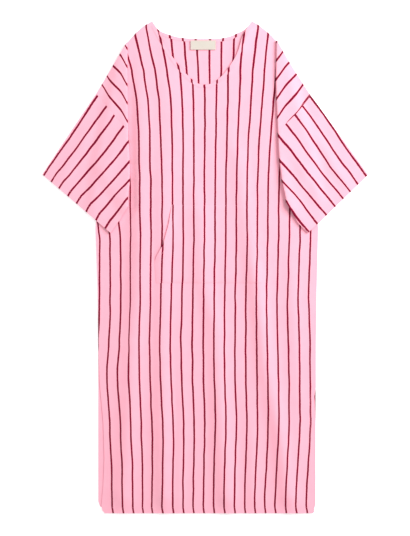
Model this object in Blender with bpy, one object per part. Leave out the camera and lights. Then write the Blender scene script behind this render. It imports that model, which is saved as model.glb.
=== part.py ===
"""A striped kaftan dress that lies flat on a table.

Each cloth piece starts as a flat pattern in the plane of the table: X runs across the dress, Y from hem to
neck, and Z up. One deep pleat under each shoulder swings the sleeve down over the body: a pattern point runs
over the valley fold, back along the hidden flap and over the ridge fold. `Side.lay` works that out, so that
front, back and sleeves share the same folds, a layer apart.
"""

import math
from collections import Counter, namedtuple

import bmesh
import bpy
from mathutils import Vector
from mathutils.geometry import delaunay_2d_cdt

MM = 0.001

# Driving dimensions
LENGTH = 1229 * MM  # shoulder to hem
WALL = 1.0 * MM  # cloth, as a solid wall
LAYER = 1.4 * MM  # from the middle of one layer to the middle of the next
SEAM_GAP = 0.45 * MM
BAND_WIDTH = 8 * MM  # stitched band round the neck
FOLD_RADIUS = LAYER  # of the middle of a front and back pair where it turns over
FOLD_STEPS = 4  # flats in each half turn
HALF_TURN = math.pi * FOLD_RADIUS
PAIR_HEIGHT = (WALL + LAYER) / 2  # middle of a front and back pair that lies on the table
CLEAR_SHARE = 0.4  # of the grid step, between its points and the lines of a pattern
ARMPIT_RELIEF = 10 * MM  # sleeve corner left open at the armpit, where four layers meet
RAMP_START, RAMP_LENGTH = 3 * MM, 32 * MM  # where the sleeve comes down beside what it lies on
SKIN = WALL / LAYER / 2  # from the middle of a wall to its skin, in layers

# How one side of the garment lies (X, Y in millimetres)
SideTable = namedtuple(
    "SideTable",
    "name sign apex ridge_foot armpit pleat_foot shoulder_tip armhole_bend cuff_top cuff_bottom body_edge",
)
SIDES = (
    SideTable(
        name="left",
        sign=-1,
        apex=(-195, 560),
        ridge_foot=(-191, 200),
        armpit=(-262, 260),
        pleat_foot=(-190, 153),
        shoulder_tip=(-273, 434),
        armhole_bend=(-192, 343),
        cuff_top=(-407.5, 232),
        cuff_bottom=(-236, 86),
        body_edge=((-275, 98), (-269, -60), (-267, -200)),
    ),
    SideTable(
        name="right",
        sign=1,
        apex=(179, 565),
        ridge_foot=(194, 218),
        armpit=(262, 265),
        pleat_foot=(201, 158),
        shoulder_tip=(263, 432),
        armhole_bend=(182, 332),
        cuff_top=(407.5, 231),
        cuff_bottom=(260, 88),
        body_edge=((283, 98), (279, -60), (277, -200)),
    ),
)

# Neck and shoulder lines, from the left neck point to the right one
LEFT_SHOULDER = ((-172, 586), (-151, 604))
RIGHT_SHOULDER = ((134, 605), (158, 586))
NECK_LEFT, NECK_RIGHT = (-132, LENGTH / MM / 2), (118, LENGTH / MM / 2)
FRONT_NECK = (
    NECK_LEFT, (-112, 578), (-85, 531), (-46, 482), (-17, 459),
    (0, 456.5), (17, 460), (46, 482), (79, 531), (96, 583), NECK_RIGHT,
)
BACK_NECK = (
    NECK_LEFT, (-117, 594), (-98, 584), (-68, 575), (-30, 570.5),
    (0, 569.5), (30, 570.5), (60, 576), (81, 585), (101, 595), NECK_RIGHT,
)

# Lower outlines, down the left side and up the right one
FRONT_LOWER_LEFT = ((-266, -205), (-263.5, -285), (-254, -390), (-251.5, -480), (-254.5, -550), (-259, -594))
FRONT_HEM = ((-254, -606), (-243, LENGTH / MM / -2), (267, LENGTH / MM / -2), (271, -608))
FRONT_LOWER_RIGHT = ((272, -590), (272, -330), (277, -300))
BACK_LOWER_LEFT = ((-266.5, -205), (-266.5, -585), (-262, -598))
BACK_HEM = ((-240, -602), (262, -609), (272, -607))
BACK_LOWER_RIGHT = ((276, -592), (276.5, -300))

# Pouch pocket: top, slanted hand openings, sides and bottom
POCKET = (
    (-83, 156), (-90, 110), (-104, 58), (-122, 25), (-126, 13), (-122, -39),
    (142, -39), (146, 13), (142, 25), (124, 58), (110, 110), (103, 156),
)

LABEL_SIZE = Vector((63, 26)) * MM
LABEL_TOP = Vector((-4.5, 568.5)) * MM

# Soft folds down the front: crest points (X, Y in millimetres), height there and half width, in millimetres
Crest = namedtuple("Crest", "top middle bottom height_top height_middle height_bottom half_width")
CRESTS = (
    Crest((-146, 250), (-165, -82), (-202, -560), 1.6, 2.4, 3.2, 20),
    Crest((-107, 290), (-112, -165), (-104, -582), 1.2, 2.2, 4.2, 21),
    Crest((-5, 150), (32, -165), (52, -582), 0.8, 2.2, 4.6, 30),
    Crest((102, 350), (137, -40), (212, -600), 2.0, 3.2, 4.2, 26),
)
CREST_FADE = 90 * MM  # over which a crest rises below its top point

PINK = (0.94, 0.50, 0.60)
CREAM = (0.84, 0.74, 0.70)


def metres(point):
    return Vector((point[0] * MM, point[1] * MM))


def ramp(value, start, length):
    """0 before start, 1 after start + length, and a smooth step between."""
    share = min(max((value - start) / length, 0.0), 1.0)
    return share * share * (3 - 2 * share)


def right_of(direction):
    return Vector((direction.y, -direction.x))


def between(table, height):
    """X at a height on an outline whose points run downwards."""
    for upper, lower in zip(table, table[1:]):
        if height >= lower.y:
            share = min(max((upper.y - height) / (upper.y - lower.y), 0.0), 1.0)
            return upper.x + (lower.x - upper.x) * share
    return table[-1].x


class Side:
    """The folds and edges of one side of the garment."""

    def __init__(self, table):
        self.name, self.sign = table.name, table.sign
        self.apex, self.armpit = metres(table.apex), metres(table.armpit)
        self.pleat_foot = metres(table.pleat_foot)
        self.shoulder_tip, self.armhole_bend = metres(table.shoulder_tip), metres(table.armhole_bend)
        self.cuff_top, self.cuff_bottom = metres(table.cuff_top), metres(table.cuff_bottom)
        self.body_edge = [metres(point) for point in table.body_edge]
        self.valley_out = self.across(self.armpit - self.apex)
        self.ridge_in = -self.across(metres(table.ridge_foot) - self.apex)
        self.flap_out = self.across(self.pleat_foot - self.armpit)
        self.sleeve_clear = -self.across(self.cuff_bottom - self.pleat_foot)
        self.flat_tip = self.spread(self.shoulder_tip)
        self.flat_bend = self.spread(self.armhole_bend)
        self.flat_cuff_top = self.spread(self.cuff_top)
        self.flat_cuff_bottom = self.spread(self.cuff_bottom)

    def across(self, direction):
        """Unit vector square to a line that runs down, pointing away from the body."""
        return right_of(direction.normalized()) * -self.sign

    def spread(self, spot):
        """The pattern point that comes to lie at this spot of the yoke or sleeve."""
        back = (spot - self.apex).dot(self.ridge_in)
        spot = spot + self.ridge_in * (HALF_TURN - 2 * back)
        out = (spot - self.apex).dot(self.valley_out)
        return spot + self.valley_out * (HALF_TURN - 2 * out)

    def lay(self, spot):
        """A pattern point's resting place in the middle of the pair, the pair's normal, and its pass."""
        height, up = PAIR_HEIGHT, Vector((0, 0, 1))
        past = (spot - self.apex).dot(self.valley_out)
        if past <= 0:
            return spot.to_3d() + up * height, up, "body"
        if past < HALF_TURN:
            return turned(spot - self.valley_out * past, self.valley_out, past, height, 1) + ("fold",)
        spot = spot - self.valley_out * (2 * past - HALF_TURN)
        height += 2 * FOLD_RADIUS
        past = (spot - self.apex).dot(self.ridge_in)
        if past <= 0:
            return spot.to_3d() + up * height, -up, "flap"
        if past < HALF_TURN:
            return turned(spot - self.ridge_in * past, self.ridge_in, past, height, -1) + ("fold",)
        spot = spot - self.ridge_in * (2 * past - HALF_TURN)
        return spot.to_3d() + up * (PAIR_HEIGHT + self.rise(spot)), up, "top"

    def rise(self, spot):
        """How far the yoke and sleeve lie above the table's own pair, over the body and its flap."""
        edge = between([self.apex, self.armpit] + self.body_edge, spot.y)
        off_body = (spot.x - edge) * self.sign
        off_flap = max(off_body, (spot - self.pleat_foot).dot(self.flap_out))
        over = 2 - ramp(off_body, RAMP_START, RAMP_LENGTH) - ramp(off_flap, RAMP_START, RAMP_LENGTH)
        return over * 2 * FOLD_RADIUS

    def clear_of_sleeve(self, spot):
        """Distance from the sleeve's inner edge to a spot of the body that it doesn't cover."""
        return max((spot - self.apex).dot(self.ridge_in), (spot - self.pleat_foot).dot(self.sleeve_clear))

    def fold_lines(self):
        """Pattern lines along both folds, a flat apart."""
        lines = []
        for step in range(FOLD_STEPS + 1):
            past = HALF_TURN * step / FOLD_STEPS
            valley = self.along(self.armpit, self.valley_out)
            lines.append([point + self.valley_out * past for point in valley])
            ridge = self.along(self.pleat_foot, self.ridge_in)
            lines.append([self.behind_flap(point + self.ridge_in * past) for point in ridge])
        return lines

    def along(self, foot, out):
        """Points down a fold line from above the apex to past its foot."""
        start, end = self.apex, foot + out * (self.apex - foot).dot(out)
        run = end - start
        return [start + run * share for share in (-0.1, 0.12, 0.3, 0.5, 0.7, 0.88, 1.0, 1.12)]

    def behind_flap(self, spot):
        """The pattern point of a spot in the plane of the hidden flap."""
        out = (spot - self.apex).dot(self.valley_out)
        return spot + self.valley_out * (HALF_TURN - 2 * out)

    def ramp_lines(self):
        """Pattern lines along the slope where the sleeve comes down beside the body."""
        lines = []
        edge = [self.apex + Vector((0, -25 * MM)), self.armpit] + self.body_edge[:2]
        for share in (0.0, 0.3, 0.5, 0.7, 1.0):
            off = Vector((self.sign * (RAMP_START + RAMP_LENGTH * share), 0))
            line = []
            for upper, lower in zip(edge, edge[1:]):
                line += [self.spread(upper + (lower - upper) * part + off) for part in (0.0, 0.33, 0.67)]
            lines.append(line)
        return lines


def turned(foot, out, past, height, facing):
    """A point part of the way round a fold, and the normal of its layers there."""
    angle = past / FOLD_RADIUS
    up = Vector((0, 0, 1))
    spot = foot.to_3d() + out.to_3d() * (FOLD_RADIUS * math.sin(angle))
    spot += up * (height + FOLD_RADIUS * (1 - math.cos(angle)))
    return spot, (up * math.cos(angle) - out.to_3d() * math.sin(angle)) * facing


LEFT, RIGHT = (Side(table) for table in SIDES)


def side_of(spot):
    return LEFT if spot.x < 0 else RIGHT


def crest_height(spot):
    """Height of the front's soft folds above the table's pair of layers."""
    total = 0.0
    for crest in CRESTS:
        line = [metres(point) for point in (crest.top, crest.middle, crest.bottom)]
        across = (spot.x - between(line, spot.y)) / (crest.half_width * MM)
        if spot.y > line[1].y:
            share = (line[0].y - spot.y) / (line[0].y - line[1].y)
            height = crest.height_top + (crest.height_middle - crest.height_top) * max(share, 0.0)
        else:
            share = (line[1].y - spot.y) / (line[1].y - line[2].y)
            height = crest.height_middle + (crest.height_bottom - crest.height_middle) * min(share, 1.0)
        fade = ramp(line[0].y - spot.y, -CREST_FADE, 2 * CREST_FADE)
        total += height * MM * math.exp(-across * across) * fade
    side = side_of(spot)
    edge = between([side.apex, side.armpit] + side.body_edge, spot.y)
    inside = (edge - spot.x) * side.sign
    return total * ramp(inside, 4 * MM, 40 * MM) * ramp(side.clear_of_sleeve(spot), 5 * MM, 35 * MM)


def laid(spot, layers_up, waves=False):
    """Where a pattern point of one layer lies, counted in layers from the middle of the pair."""
    place, normal, over = side_of(spot).lay(spot)
    place = place + normal * (LAYER * layers_up)
    if waves and over == "body":
        place.z += crest_height(spot)
    return place


def smooth_line(points, parts=3):
    """A curve through the points (Catmull-Rom), in metres."""
    spots = [metres(point) for point in points]
    padded = [spots[0] * 2 - spots[1]] + spots + [spots[-1] * 2 - spots[-2]]
    line = []
    for before, start, end, after in zip(padded, padded[1:], padded[2:], padded[3:]):
        for part in range(parts):
            t = part / parts
            line.append(
                0.5 * (
                    2 * start + (end - before) * t + (2 * before - 5 * start + 4 * end - after) * t * t
                    + (3 * start - before - 3 * end + after) * t ** 3
                )
            )
    return line + [spots[-1]]


def inside(outline, spot):
    crossings = 0
    for start, end in zip(outline, outline[1:] + outline[:1]):
        if (start.y > spot.y) != (end.y > spot.y):
            crossings += spot.x < start.x + (end.x - start.x) * (spot.y - start.y) / (end.y - start.y)
    return crossings % 2 == 1


def distance(line, spot):
    nearest = math.inf
    for start, end in zip(line, line[1:]):
        run = end - start
        share = min(max((spot - start).dot(run) / max(run.length_squared, 1e-12), 0.0), 1.0)
        nearest = min(nearest, (start + run * share - spot).length)
    return nearest


def cut_pattern(outline, lines, step):
    """The points and faces of a pattern, with its fold lines and a grid of inner points."""
    points, edges = list(outline), []
    for line in lines:
        first = len(points)
        points += line
        edges += [(index, index + 1) for index in range(first, len(points) - 1)]
    closed = outline + outline[:1]
    low = [min(spot[axis] for spot in outline) for axis in (0, 1)]
    high = [max(spot[axis] for spot in outline) for axis in (0, 1)]
    for column in range(int((high[0] - low[0]) / step[0]) + 1):
        for row in range(int((high[1] - low[1]) / step[1]) + 1):
            spot = Vector((low[0] + (column + 0.5) * step[0], low[1] + (row + 0.5) * step[1]))
            clear = min(distance(line, spot) for line in [closed, *lines])
            if inside(outline, spot) and clear > CLEAR_SHARE * min(step):
                points.append(spot)
    spots, _, faces, _, _, _ = delaunay_2d_cdt(points, edges, [list(range(len(outline)))], 1, 1e-6)
    return part_of((spots, faces), outline)


def part_of(pattern, outline):
    """The faces of a pattern that lie inside an outline, with only the points that they use."""
    spots, faces = pattern
    kept = [face for face in faces if inside(outline, middle([spots[index] for index in face]))]
    used = sorted({index for face in kept for index in face})
    place = {index: new for new, index in enumerate(used)}
    return [spots[index] for index in used], [[place[index] for index in face] for face in kept]


def middle(spots):
    return sum(spots, Vector((0, 0))) / len(spots)


def new_material(name, colour, roughness):
    material = bpy.data.materials.new(name)
    material.use_nodes = True
    shader = material.node_tree.nodes["Principled BSDF"]
    shader.inputs["Base Color"].default_value = (*colour, 1)
    shader.inputs["Roughness"].default_value = roughness
    shader.inputs["Metallic"].default_value = 0
    return material


def add_cloth(name, faces, inner, outer, colour=PINK, roughness=0.85):
    """A closed wall of cloth: the sheet's faces on their inner skin, extruded to the outer skin."""
    wall = bmesh.new()
    number = wall.verts.layers.int.new("number")
    verts = [wall.verts.new(place) for place in inner]
    for index, vert in enumerate(verts):
        vert[number] = index
    for face in faces:
        wall.faces.new([verts[index] for index in face])
    for part in bmesh.ops.extrude_face_region(wall, geom=wall.faces[:])["geom"]:
        if isinstance(part, bmesh.types.BMVert):
            part.co = outer[part[number]]
    bmesh.ops.recalc_face_normals(wall, faces=wall.faces)
    mesh = bpy.data.meshes.new(name)
    wall.to_mesh(mesh)
    wall.free()
    mesh.materials.append(new_material(name.replace("_", " ") + " cloth", colour, roughness))
    GARMENT.objects.link(bpy.data.objects.new(name, mesh))


def add_layer(name, pattern, layers_up, waves=False, **finish):
    """A piece that is one layer of its pattern, counted from the middle of the front and back pair."""
    spots, faces = pattern
    inner = [laid(spot, layers_up - SKIN, waves) for spot in spots]
    outer = [laid(spot, layers_up + SKIN, waves) for spot in spots]
    add_cloth(name, faces, inner, outer, **finish)


def armhole(side, inset):
    """Pattern points of the armhole from the shoulder to the armpit, moved in from the seam line."""
    line = [side.flat_tip, side.flat_bend, side.armpit]
    outwards = right_of((line[-1] - line[0]).normalized()) * -side.sign
    return [spot - outwards * inset for spot in line]


def panel_outline(neck, left_lower, hem, right_lower):
    """A body panel's pattern: neck, right side, hem and left side."""
    outline = smooth_line(neck)
    outline += [metres(point) for point in RIGHT_SHOULDER]
    outline += [RIGHT.apex, RIGHT.spread(RIGHT.apex)] + armhole(RIGHT, SEAM_GAP / 2) + RIGHT.body_edge
    outline += [metres(point) for point in reversed(right_lower)]
    outline += [metres(point) for point in reversed(hem)]
    outline += [metres(point) for point in reversed(left_lower)]
    outline += LEFT.body_edge[::-1] + armhole(LEFT, SEAM_GAP / 2)[::-1] + [LEFT.spread(LEFT.apex), LEFT.apex]
    return outline + [metres(point) for point in LEFT_SHOULDER]


def body_lines():
    return LEFT.fold_lines() + RIGHT.fold_lines() + LEFT.ramp_lines() + RIGHT.ramp_lines()


def add_front():
    """The front panel, and the pocket and neck band that are made from its points, a layer above it."""
    outline = panel_outline(FRONT_NECK, FRONT_LOWER_LEFT, FRONT_HEM, FRONT_LOWER_RIGHT)
    pocket = [metres(point) for point in POCKET]
    band = band_strip(FRONT_NECK, 1, -1)
    lines = body_lines() + [pocket + pocket[:1], band + band[:1]]
    pattern = cut_pattern(outline, lines, (23 * MM, 52 * MM))
    add_layer("front_panel", pattern, 0.5, waves=True)
    add_layer("pouch_pocket", part_of(pattern, pocket), 1.5, waves=True)
    add_layer("neck_band_front", part_of(pattern, band), 1.5, waves=True)


def add_back():
    """The back panel, and the neck band on its inner side."""
    outline = panel_outline(BACK_NECK, BACK_LOWER_LEFT, BACK_HEM, BACK_LOWER_RIGHT)
    band = band_strip(BACK_NECK, 5, -6)
    pattern = cut_pattern(outline, body_lines() + [band + band[:1]], (60 * MM, 90 * MM))
    add_layer("back_panel", pattern, -0.5)
    add_layer("neck_band_back", part_of(pattern, band), 0.5)


def add_sleeve(side):
    """A tube of cloth pressed flat: one pattern for both layers, joined round its top and underarm."""
    away = right_of((side.armpit - side.flat_tip).normalized()) * -side.sign
    seam = [spot + away * SEAM_GAP for spot in armhole(side, SEAM_GAP / 2)]
    underarm = seam[-1] + (side.flat_cuff_bottom - seam[-1]).normalized() * ARMPIT_RELIEF
    seam[-1] += (seam[0] - seam[-1]).normalized() * ARMPIT_RELIEF
    outline = seam + [underarm, side.flat_cuff_bottom, side.flat_cuff_top]
    spots, flat = cut_pattern(outline, side.fold_lines() + side.ramp_lines(), (38 * MM, 42 * MM))
    back = len(spots)
    faces = flat + [[index + back for index in reversed(face)] for face in flat]
    outer = [laid(spot, 0.5 + SKIN) for spot in spots] + [laid(spot, -0.5 - SKIN) for spot in spots]
    inner = [laid(spot, 0.5 - SKIN) for spot in spots] + [laid(spot, -0.5 + SKIN) for spot in spots]
    for start, end in ((seam[0], side.flat_cuff_top), (underarm, side.flat_cuff_bottom)):
        out = right_of((end - start).normalized())
        out *= 1 if (middle(outline) - start).dot(out) < 0 else -1
        on_fold = {index for index, spot in enumerate(spots) if abs((spot - start).dot(out)) < 1e-6}
        turn = {index: len(outer) + count for count, index in enumerate(sorted(on_fold))}
        outer += [laid(spots[index] + out * (LAYER + WALL) / 2, 0) for index in sorted(on_fold)]
        inner += [laid(spots[index] + out * (LAYER - WALL) / 2, 0) for index in sorted(on_fold)]
        for face in flat:
            for first, second in zip(face, face[1:] + face[:1]):
                if {first, second} <= on_fold:
                    faces.append([second, first, turn[first], turn[second]])
                    faces.append([turn[second], turn[first], first + back, second + back])
    add_cloth(f"sleeve_{side.name}", faces, inner, outer)


def band_strip(neck, first, last):
    """A flat strip as wide as the band, from the neck edge into the panel."""
    line = smooth_line(neck)[first:last]
    inner = []
    for before, spot, after in zip(line[:1] + line, line, line[1:] + line[-1:]):
        inner.append(spot + right_of((after - before).normalized()) * BAND_WIDTH)
    return line + inner[::-1]


def add_label():
    """A blank woven label over the back band."""
    centre = LABEL_TOP - Vector((0, LABEL_SIZE.y / 2))
    corners = [Vector(corner) * 0.5 for corner in ((-1, -1), (1, -1), (1, 1), (-1, 1))]
    pattern = [centre + corner * LABEL_SIZE for corner in corners], [[0, 1, 2, 3]]
    add_layer("neck_label", pattern, 1.5, colour=CREAM, roughness=0.7)


def clear_scene():
    for obj in list(bpy.data.objects):
        bpy.data.objects.remove(obj, do_unlink=True)


clear_scene()
GARMENT = bpy.data.collections.new("Kaftan dress")
bpy.context.scene.collection.children.link(GARMENT)
add_front()
add_back()
add_sleeve(LEFT)
add_sleeve(RIGHT)
add_label()
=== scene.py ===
"""The looks of a striped kaftan dress that lies flat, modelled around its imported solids.

Every cloth piece starts as a flat pattern: X runs across the dress, Y from hem to neck. `ShoulderFold`
turns a pattern point over the deep fold under each shoulder, `Drape` adds the soft folds, and each piece
is a pattern cut into a fine grid, given its wall and laid. The stripes are a UV map: U counts stripes,
and V runs along them.
"""

from __future__ import annotations

import logging
import math
from dataclasses import dataclass, field
from enum import Enum
from functools import lru_cache

import bmesh
import bpy
from mathutils import Matrix, Vector, noise

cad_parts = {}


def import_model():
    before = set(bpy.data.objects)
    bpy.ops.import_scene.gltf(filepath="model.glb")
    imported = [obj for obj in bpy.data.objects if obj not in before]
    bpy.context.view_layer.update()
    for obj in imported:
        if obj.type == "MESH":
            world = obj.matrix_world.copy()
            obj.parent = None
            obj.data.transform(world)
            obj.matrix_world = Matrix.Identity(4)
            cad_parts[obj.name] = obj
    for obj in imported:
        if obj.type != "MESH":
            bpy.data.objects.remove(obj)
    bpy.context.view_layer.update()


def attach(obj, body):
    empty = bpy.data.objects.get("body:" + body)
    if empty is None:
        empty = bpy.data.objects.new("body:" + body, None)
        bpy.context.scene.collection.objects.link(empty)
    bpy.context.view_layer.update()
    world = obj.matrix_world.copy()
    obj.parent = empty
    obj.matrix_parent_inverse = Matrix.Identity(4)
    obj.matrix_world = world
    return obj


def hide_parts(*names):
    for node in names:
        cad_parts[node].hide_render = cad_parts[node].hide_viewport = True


LOG = logging.getLogger("kaftan")
Point = tuple[float, float]
Triple = tuple[float, float, float]
Colour = Triple
Socket = bpy.types.NodeSocket

MM = 0.001
WALL = 1.0 * MM
LAYER = 1.4 * MM  # from the middle of one cloth layer to the middle of the next
SKIN = WALL / LAYER / 2  # from the middle of a wall to its skin, in layers
FOLD_RADIUS = LAYER
FOLD_STEPS = 8
HALF_TURN = math.pi * FOLD_RADIUS
PAIR_HEIGHT = (WALL + LAYER) / 2
RAMP_START, RAMP_LENGTH = 3 * MM, 32 * MM
BOW_WIDTH = 45 * MM
BAND_WIDTH, BAND_STITCH = 8 * MM, 6.4 * MM  # the neck bands, and their stitches' distance from the neck
STRIPE_PITCH = 26.2 * MM
THREAD_WIDTH, THREAD_HEIGHT, THREAD_SUNK = 0.5 * MM, 0.26 * MM, 0.08 * MM
STITCH_LENGTH, STITCH_PITCH = 2.6 * MM, 3.6 * MM
SEAM_DIP, SEAM_WIDTH = 0.25 * MM, 3 * MM
BACK_RELIEF, HEM_RELIEF = 0.5, 0.12  # the back's share of the front's soft folds, and that at its hem
HEM_LEVEL, HEM_REACH = -614.5 * MM, 80 * MM
STITCHED_FROM = 0.5 * MM  # cloth is thinnest this near to its stitched edge
FAN_PASSES = 8  # steps that find the stripe count on a sleeve
CUT_NEAR = 12 * MM  # how far from its line a cut along a fold reaches
CUT_FROM = 100 * MM  # how far from the middle of the dress it starts
CUT_MERGE, ON_LINE = 1e-7, 1e-6
SHARP_ANGLE = math.radians(50)
FLOOR_DROP = 0.4 * MM  # how far the floor lies below the cloth, clear of the stitches
BUMP_DISTANCE = 0.3 * MM
WHITE = (1, 1, 1, 1)
UP = Vector((0, 0, 1))


class Reach(Enum):
    """The stretch of the deep fold that a pattern point lies on."""

    BODY = "body"
    VALLEY = "valley turn"
    FLAP = "hidden flap"
    RIDGE = "ridge turn"
    TOP = "yoke and sleeve"


@dataclass(frozen=True)
class Resting:
    """Where a pattern point lies.

    Args:
        place: middle of the front and back pair there.
        normal: the pair's normal, from back to front.
        reach: the stretch of the fold.
        turned: share of the ridge turn that lies before the point.
    """

    place: Vector
    normal: Vector
    reach: Reach
    turned: float


def metres(point: Point) -> Vector:
    """A point in millimetres as a vector in metres."""
    return Vector((point[0] * MM, point[1] * MM))


def right_of(run: Vector) -> Vector:
    """The direction a quarter turn clockwise from a run."""
    return Vector((run.y, -run.x))


def smooth_step(value: float, start: float, length: float) -> float:
    """0 before start, 1 after start + length, and a smooth step between."""
    share = min(max((value - start) / length, 0.0), 1.0)
    return share * share * (3 - 2 * share)


def bell(value: float, width: float) -> float:
    """1 at zero, fading over a width on both sides."""
    return math.exp(-((value / width) ** 2))


def between(line: list[Vector], height: float) -> float:
    """Finds X at a height on a line whose points run downwards.

    Args:
        line: the points, in metres.
        height: the Y to look at.

    Returns:
        The X there, or that of the last point below the line.
    """
    for upper, lower in zip(line, line[1:]):
        if height >= lower.y:
            share = min(max((upper.y - height) / (upper.y - lower.y), 0.0), 1.0)
            return upper.x + (lower.x - upper.x) * share
    return line[-1].x


def along_table(table: tuple[Point, ...], key: float) -> float:
    """Reads a table between its rows.

    Args:
        table: rows of (key, value) whose keys fall.
        key: where to read it.

    Returns:
        The value there, or that of the first or last row past its ends.
    """
    for (high, first), (low, second) in zip(table, table[1:]):
        if key >= low:
            share = min(max((high - key) / (high - low), 0.0), 1.0)
            return first + (second - first) * share
    return table[-1][1]


def smooth_line(points: tuple[Point, ...], parts: int = 4) -> list[Vector]:
    """Draws a Catmull-Rom curve through points.

    Args:
        points: the points, in millimetres.
        parts: pieces between one point and the next.

    Returns:
        The curve's points, in metres.
    """
    spots = [metres(point) for point in points]
    padded = [spots[0] * 2 - spots[1], *spots, spots[-1] * 2 - spots[-2]]
    line = []
    for before, start, end, after in zip(padded, padded[1:], padded[2:], padded[3:]):
        for part in range(parts):
            t = part / parts
            square = 2 * before - 5 * start + 4 * end - after
            cube = 3 * start - before - 3 * end + after
            line.append(0.5 * (2 * start + (end - before) * t + square * t * t + cube * t**3))
    return [*line, spots[-1]]


def moved_aside(line: list[Vector], distance: float) -> list[Vector]:
    """Moves a line to the right of its run.

    Args:
        line: the line's points.
        distance: how far to the right, or to the left where it is negative.

    Returns:
        The moved points.
    """
    moved = []
    for before, spot, after in zip([line[0], *line], line, [*line[1:], line[-1]]):
        moved.append(spot + right_of((after - before).normalized()) * distance)
    return moved


def off_line(line: list[Vector], spot: Vector) -> float:
    """Measures how far a spot is from a line.

    Args:
        line: the points that the line goes through.
        spot: the spot.

    Returns:
        The shortest distance.
    """
    nearest = math.inf
    for start, end in zip(line, line[1:]):
        run = end - start
        share = min(max((spot - start).dot(run) / run.length_squared, 0.0), 1.0)
        nearest = min(nearest, (spot - start - run * share).length)
    return nearest


def cloth_noise(spot: Vector, across: float, along: float, seed: float) -> float:
    """Noise from about -1 to 1 in patches so wide and so long, in metres. The seed picks its layer."""
    return noise.noise(Vector((spot.x / across, spot.y / along, seed)))


def even_line(line: list[Vector], step: float) -> list[Vector]:
    """Sets out points an even step apart.

    Args:
        line: the line's points, in two or three dimensions.
        step: the distance between points, along the line.

    Returns:
        The points, from the line's first.
    """
    spots, carried = [line[0].copy()], 0.0
    for start, end in zip(line, line[1:]):
        run = (end - start).length
        if run == 0:
            continue
        at = step - carried
        while at <= run:
            spots.append(start.lerp(end, at / run))
            at += step
        carried = run - (at - step)
    return spots


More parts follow.
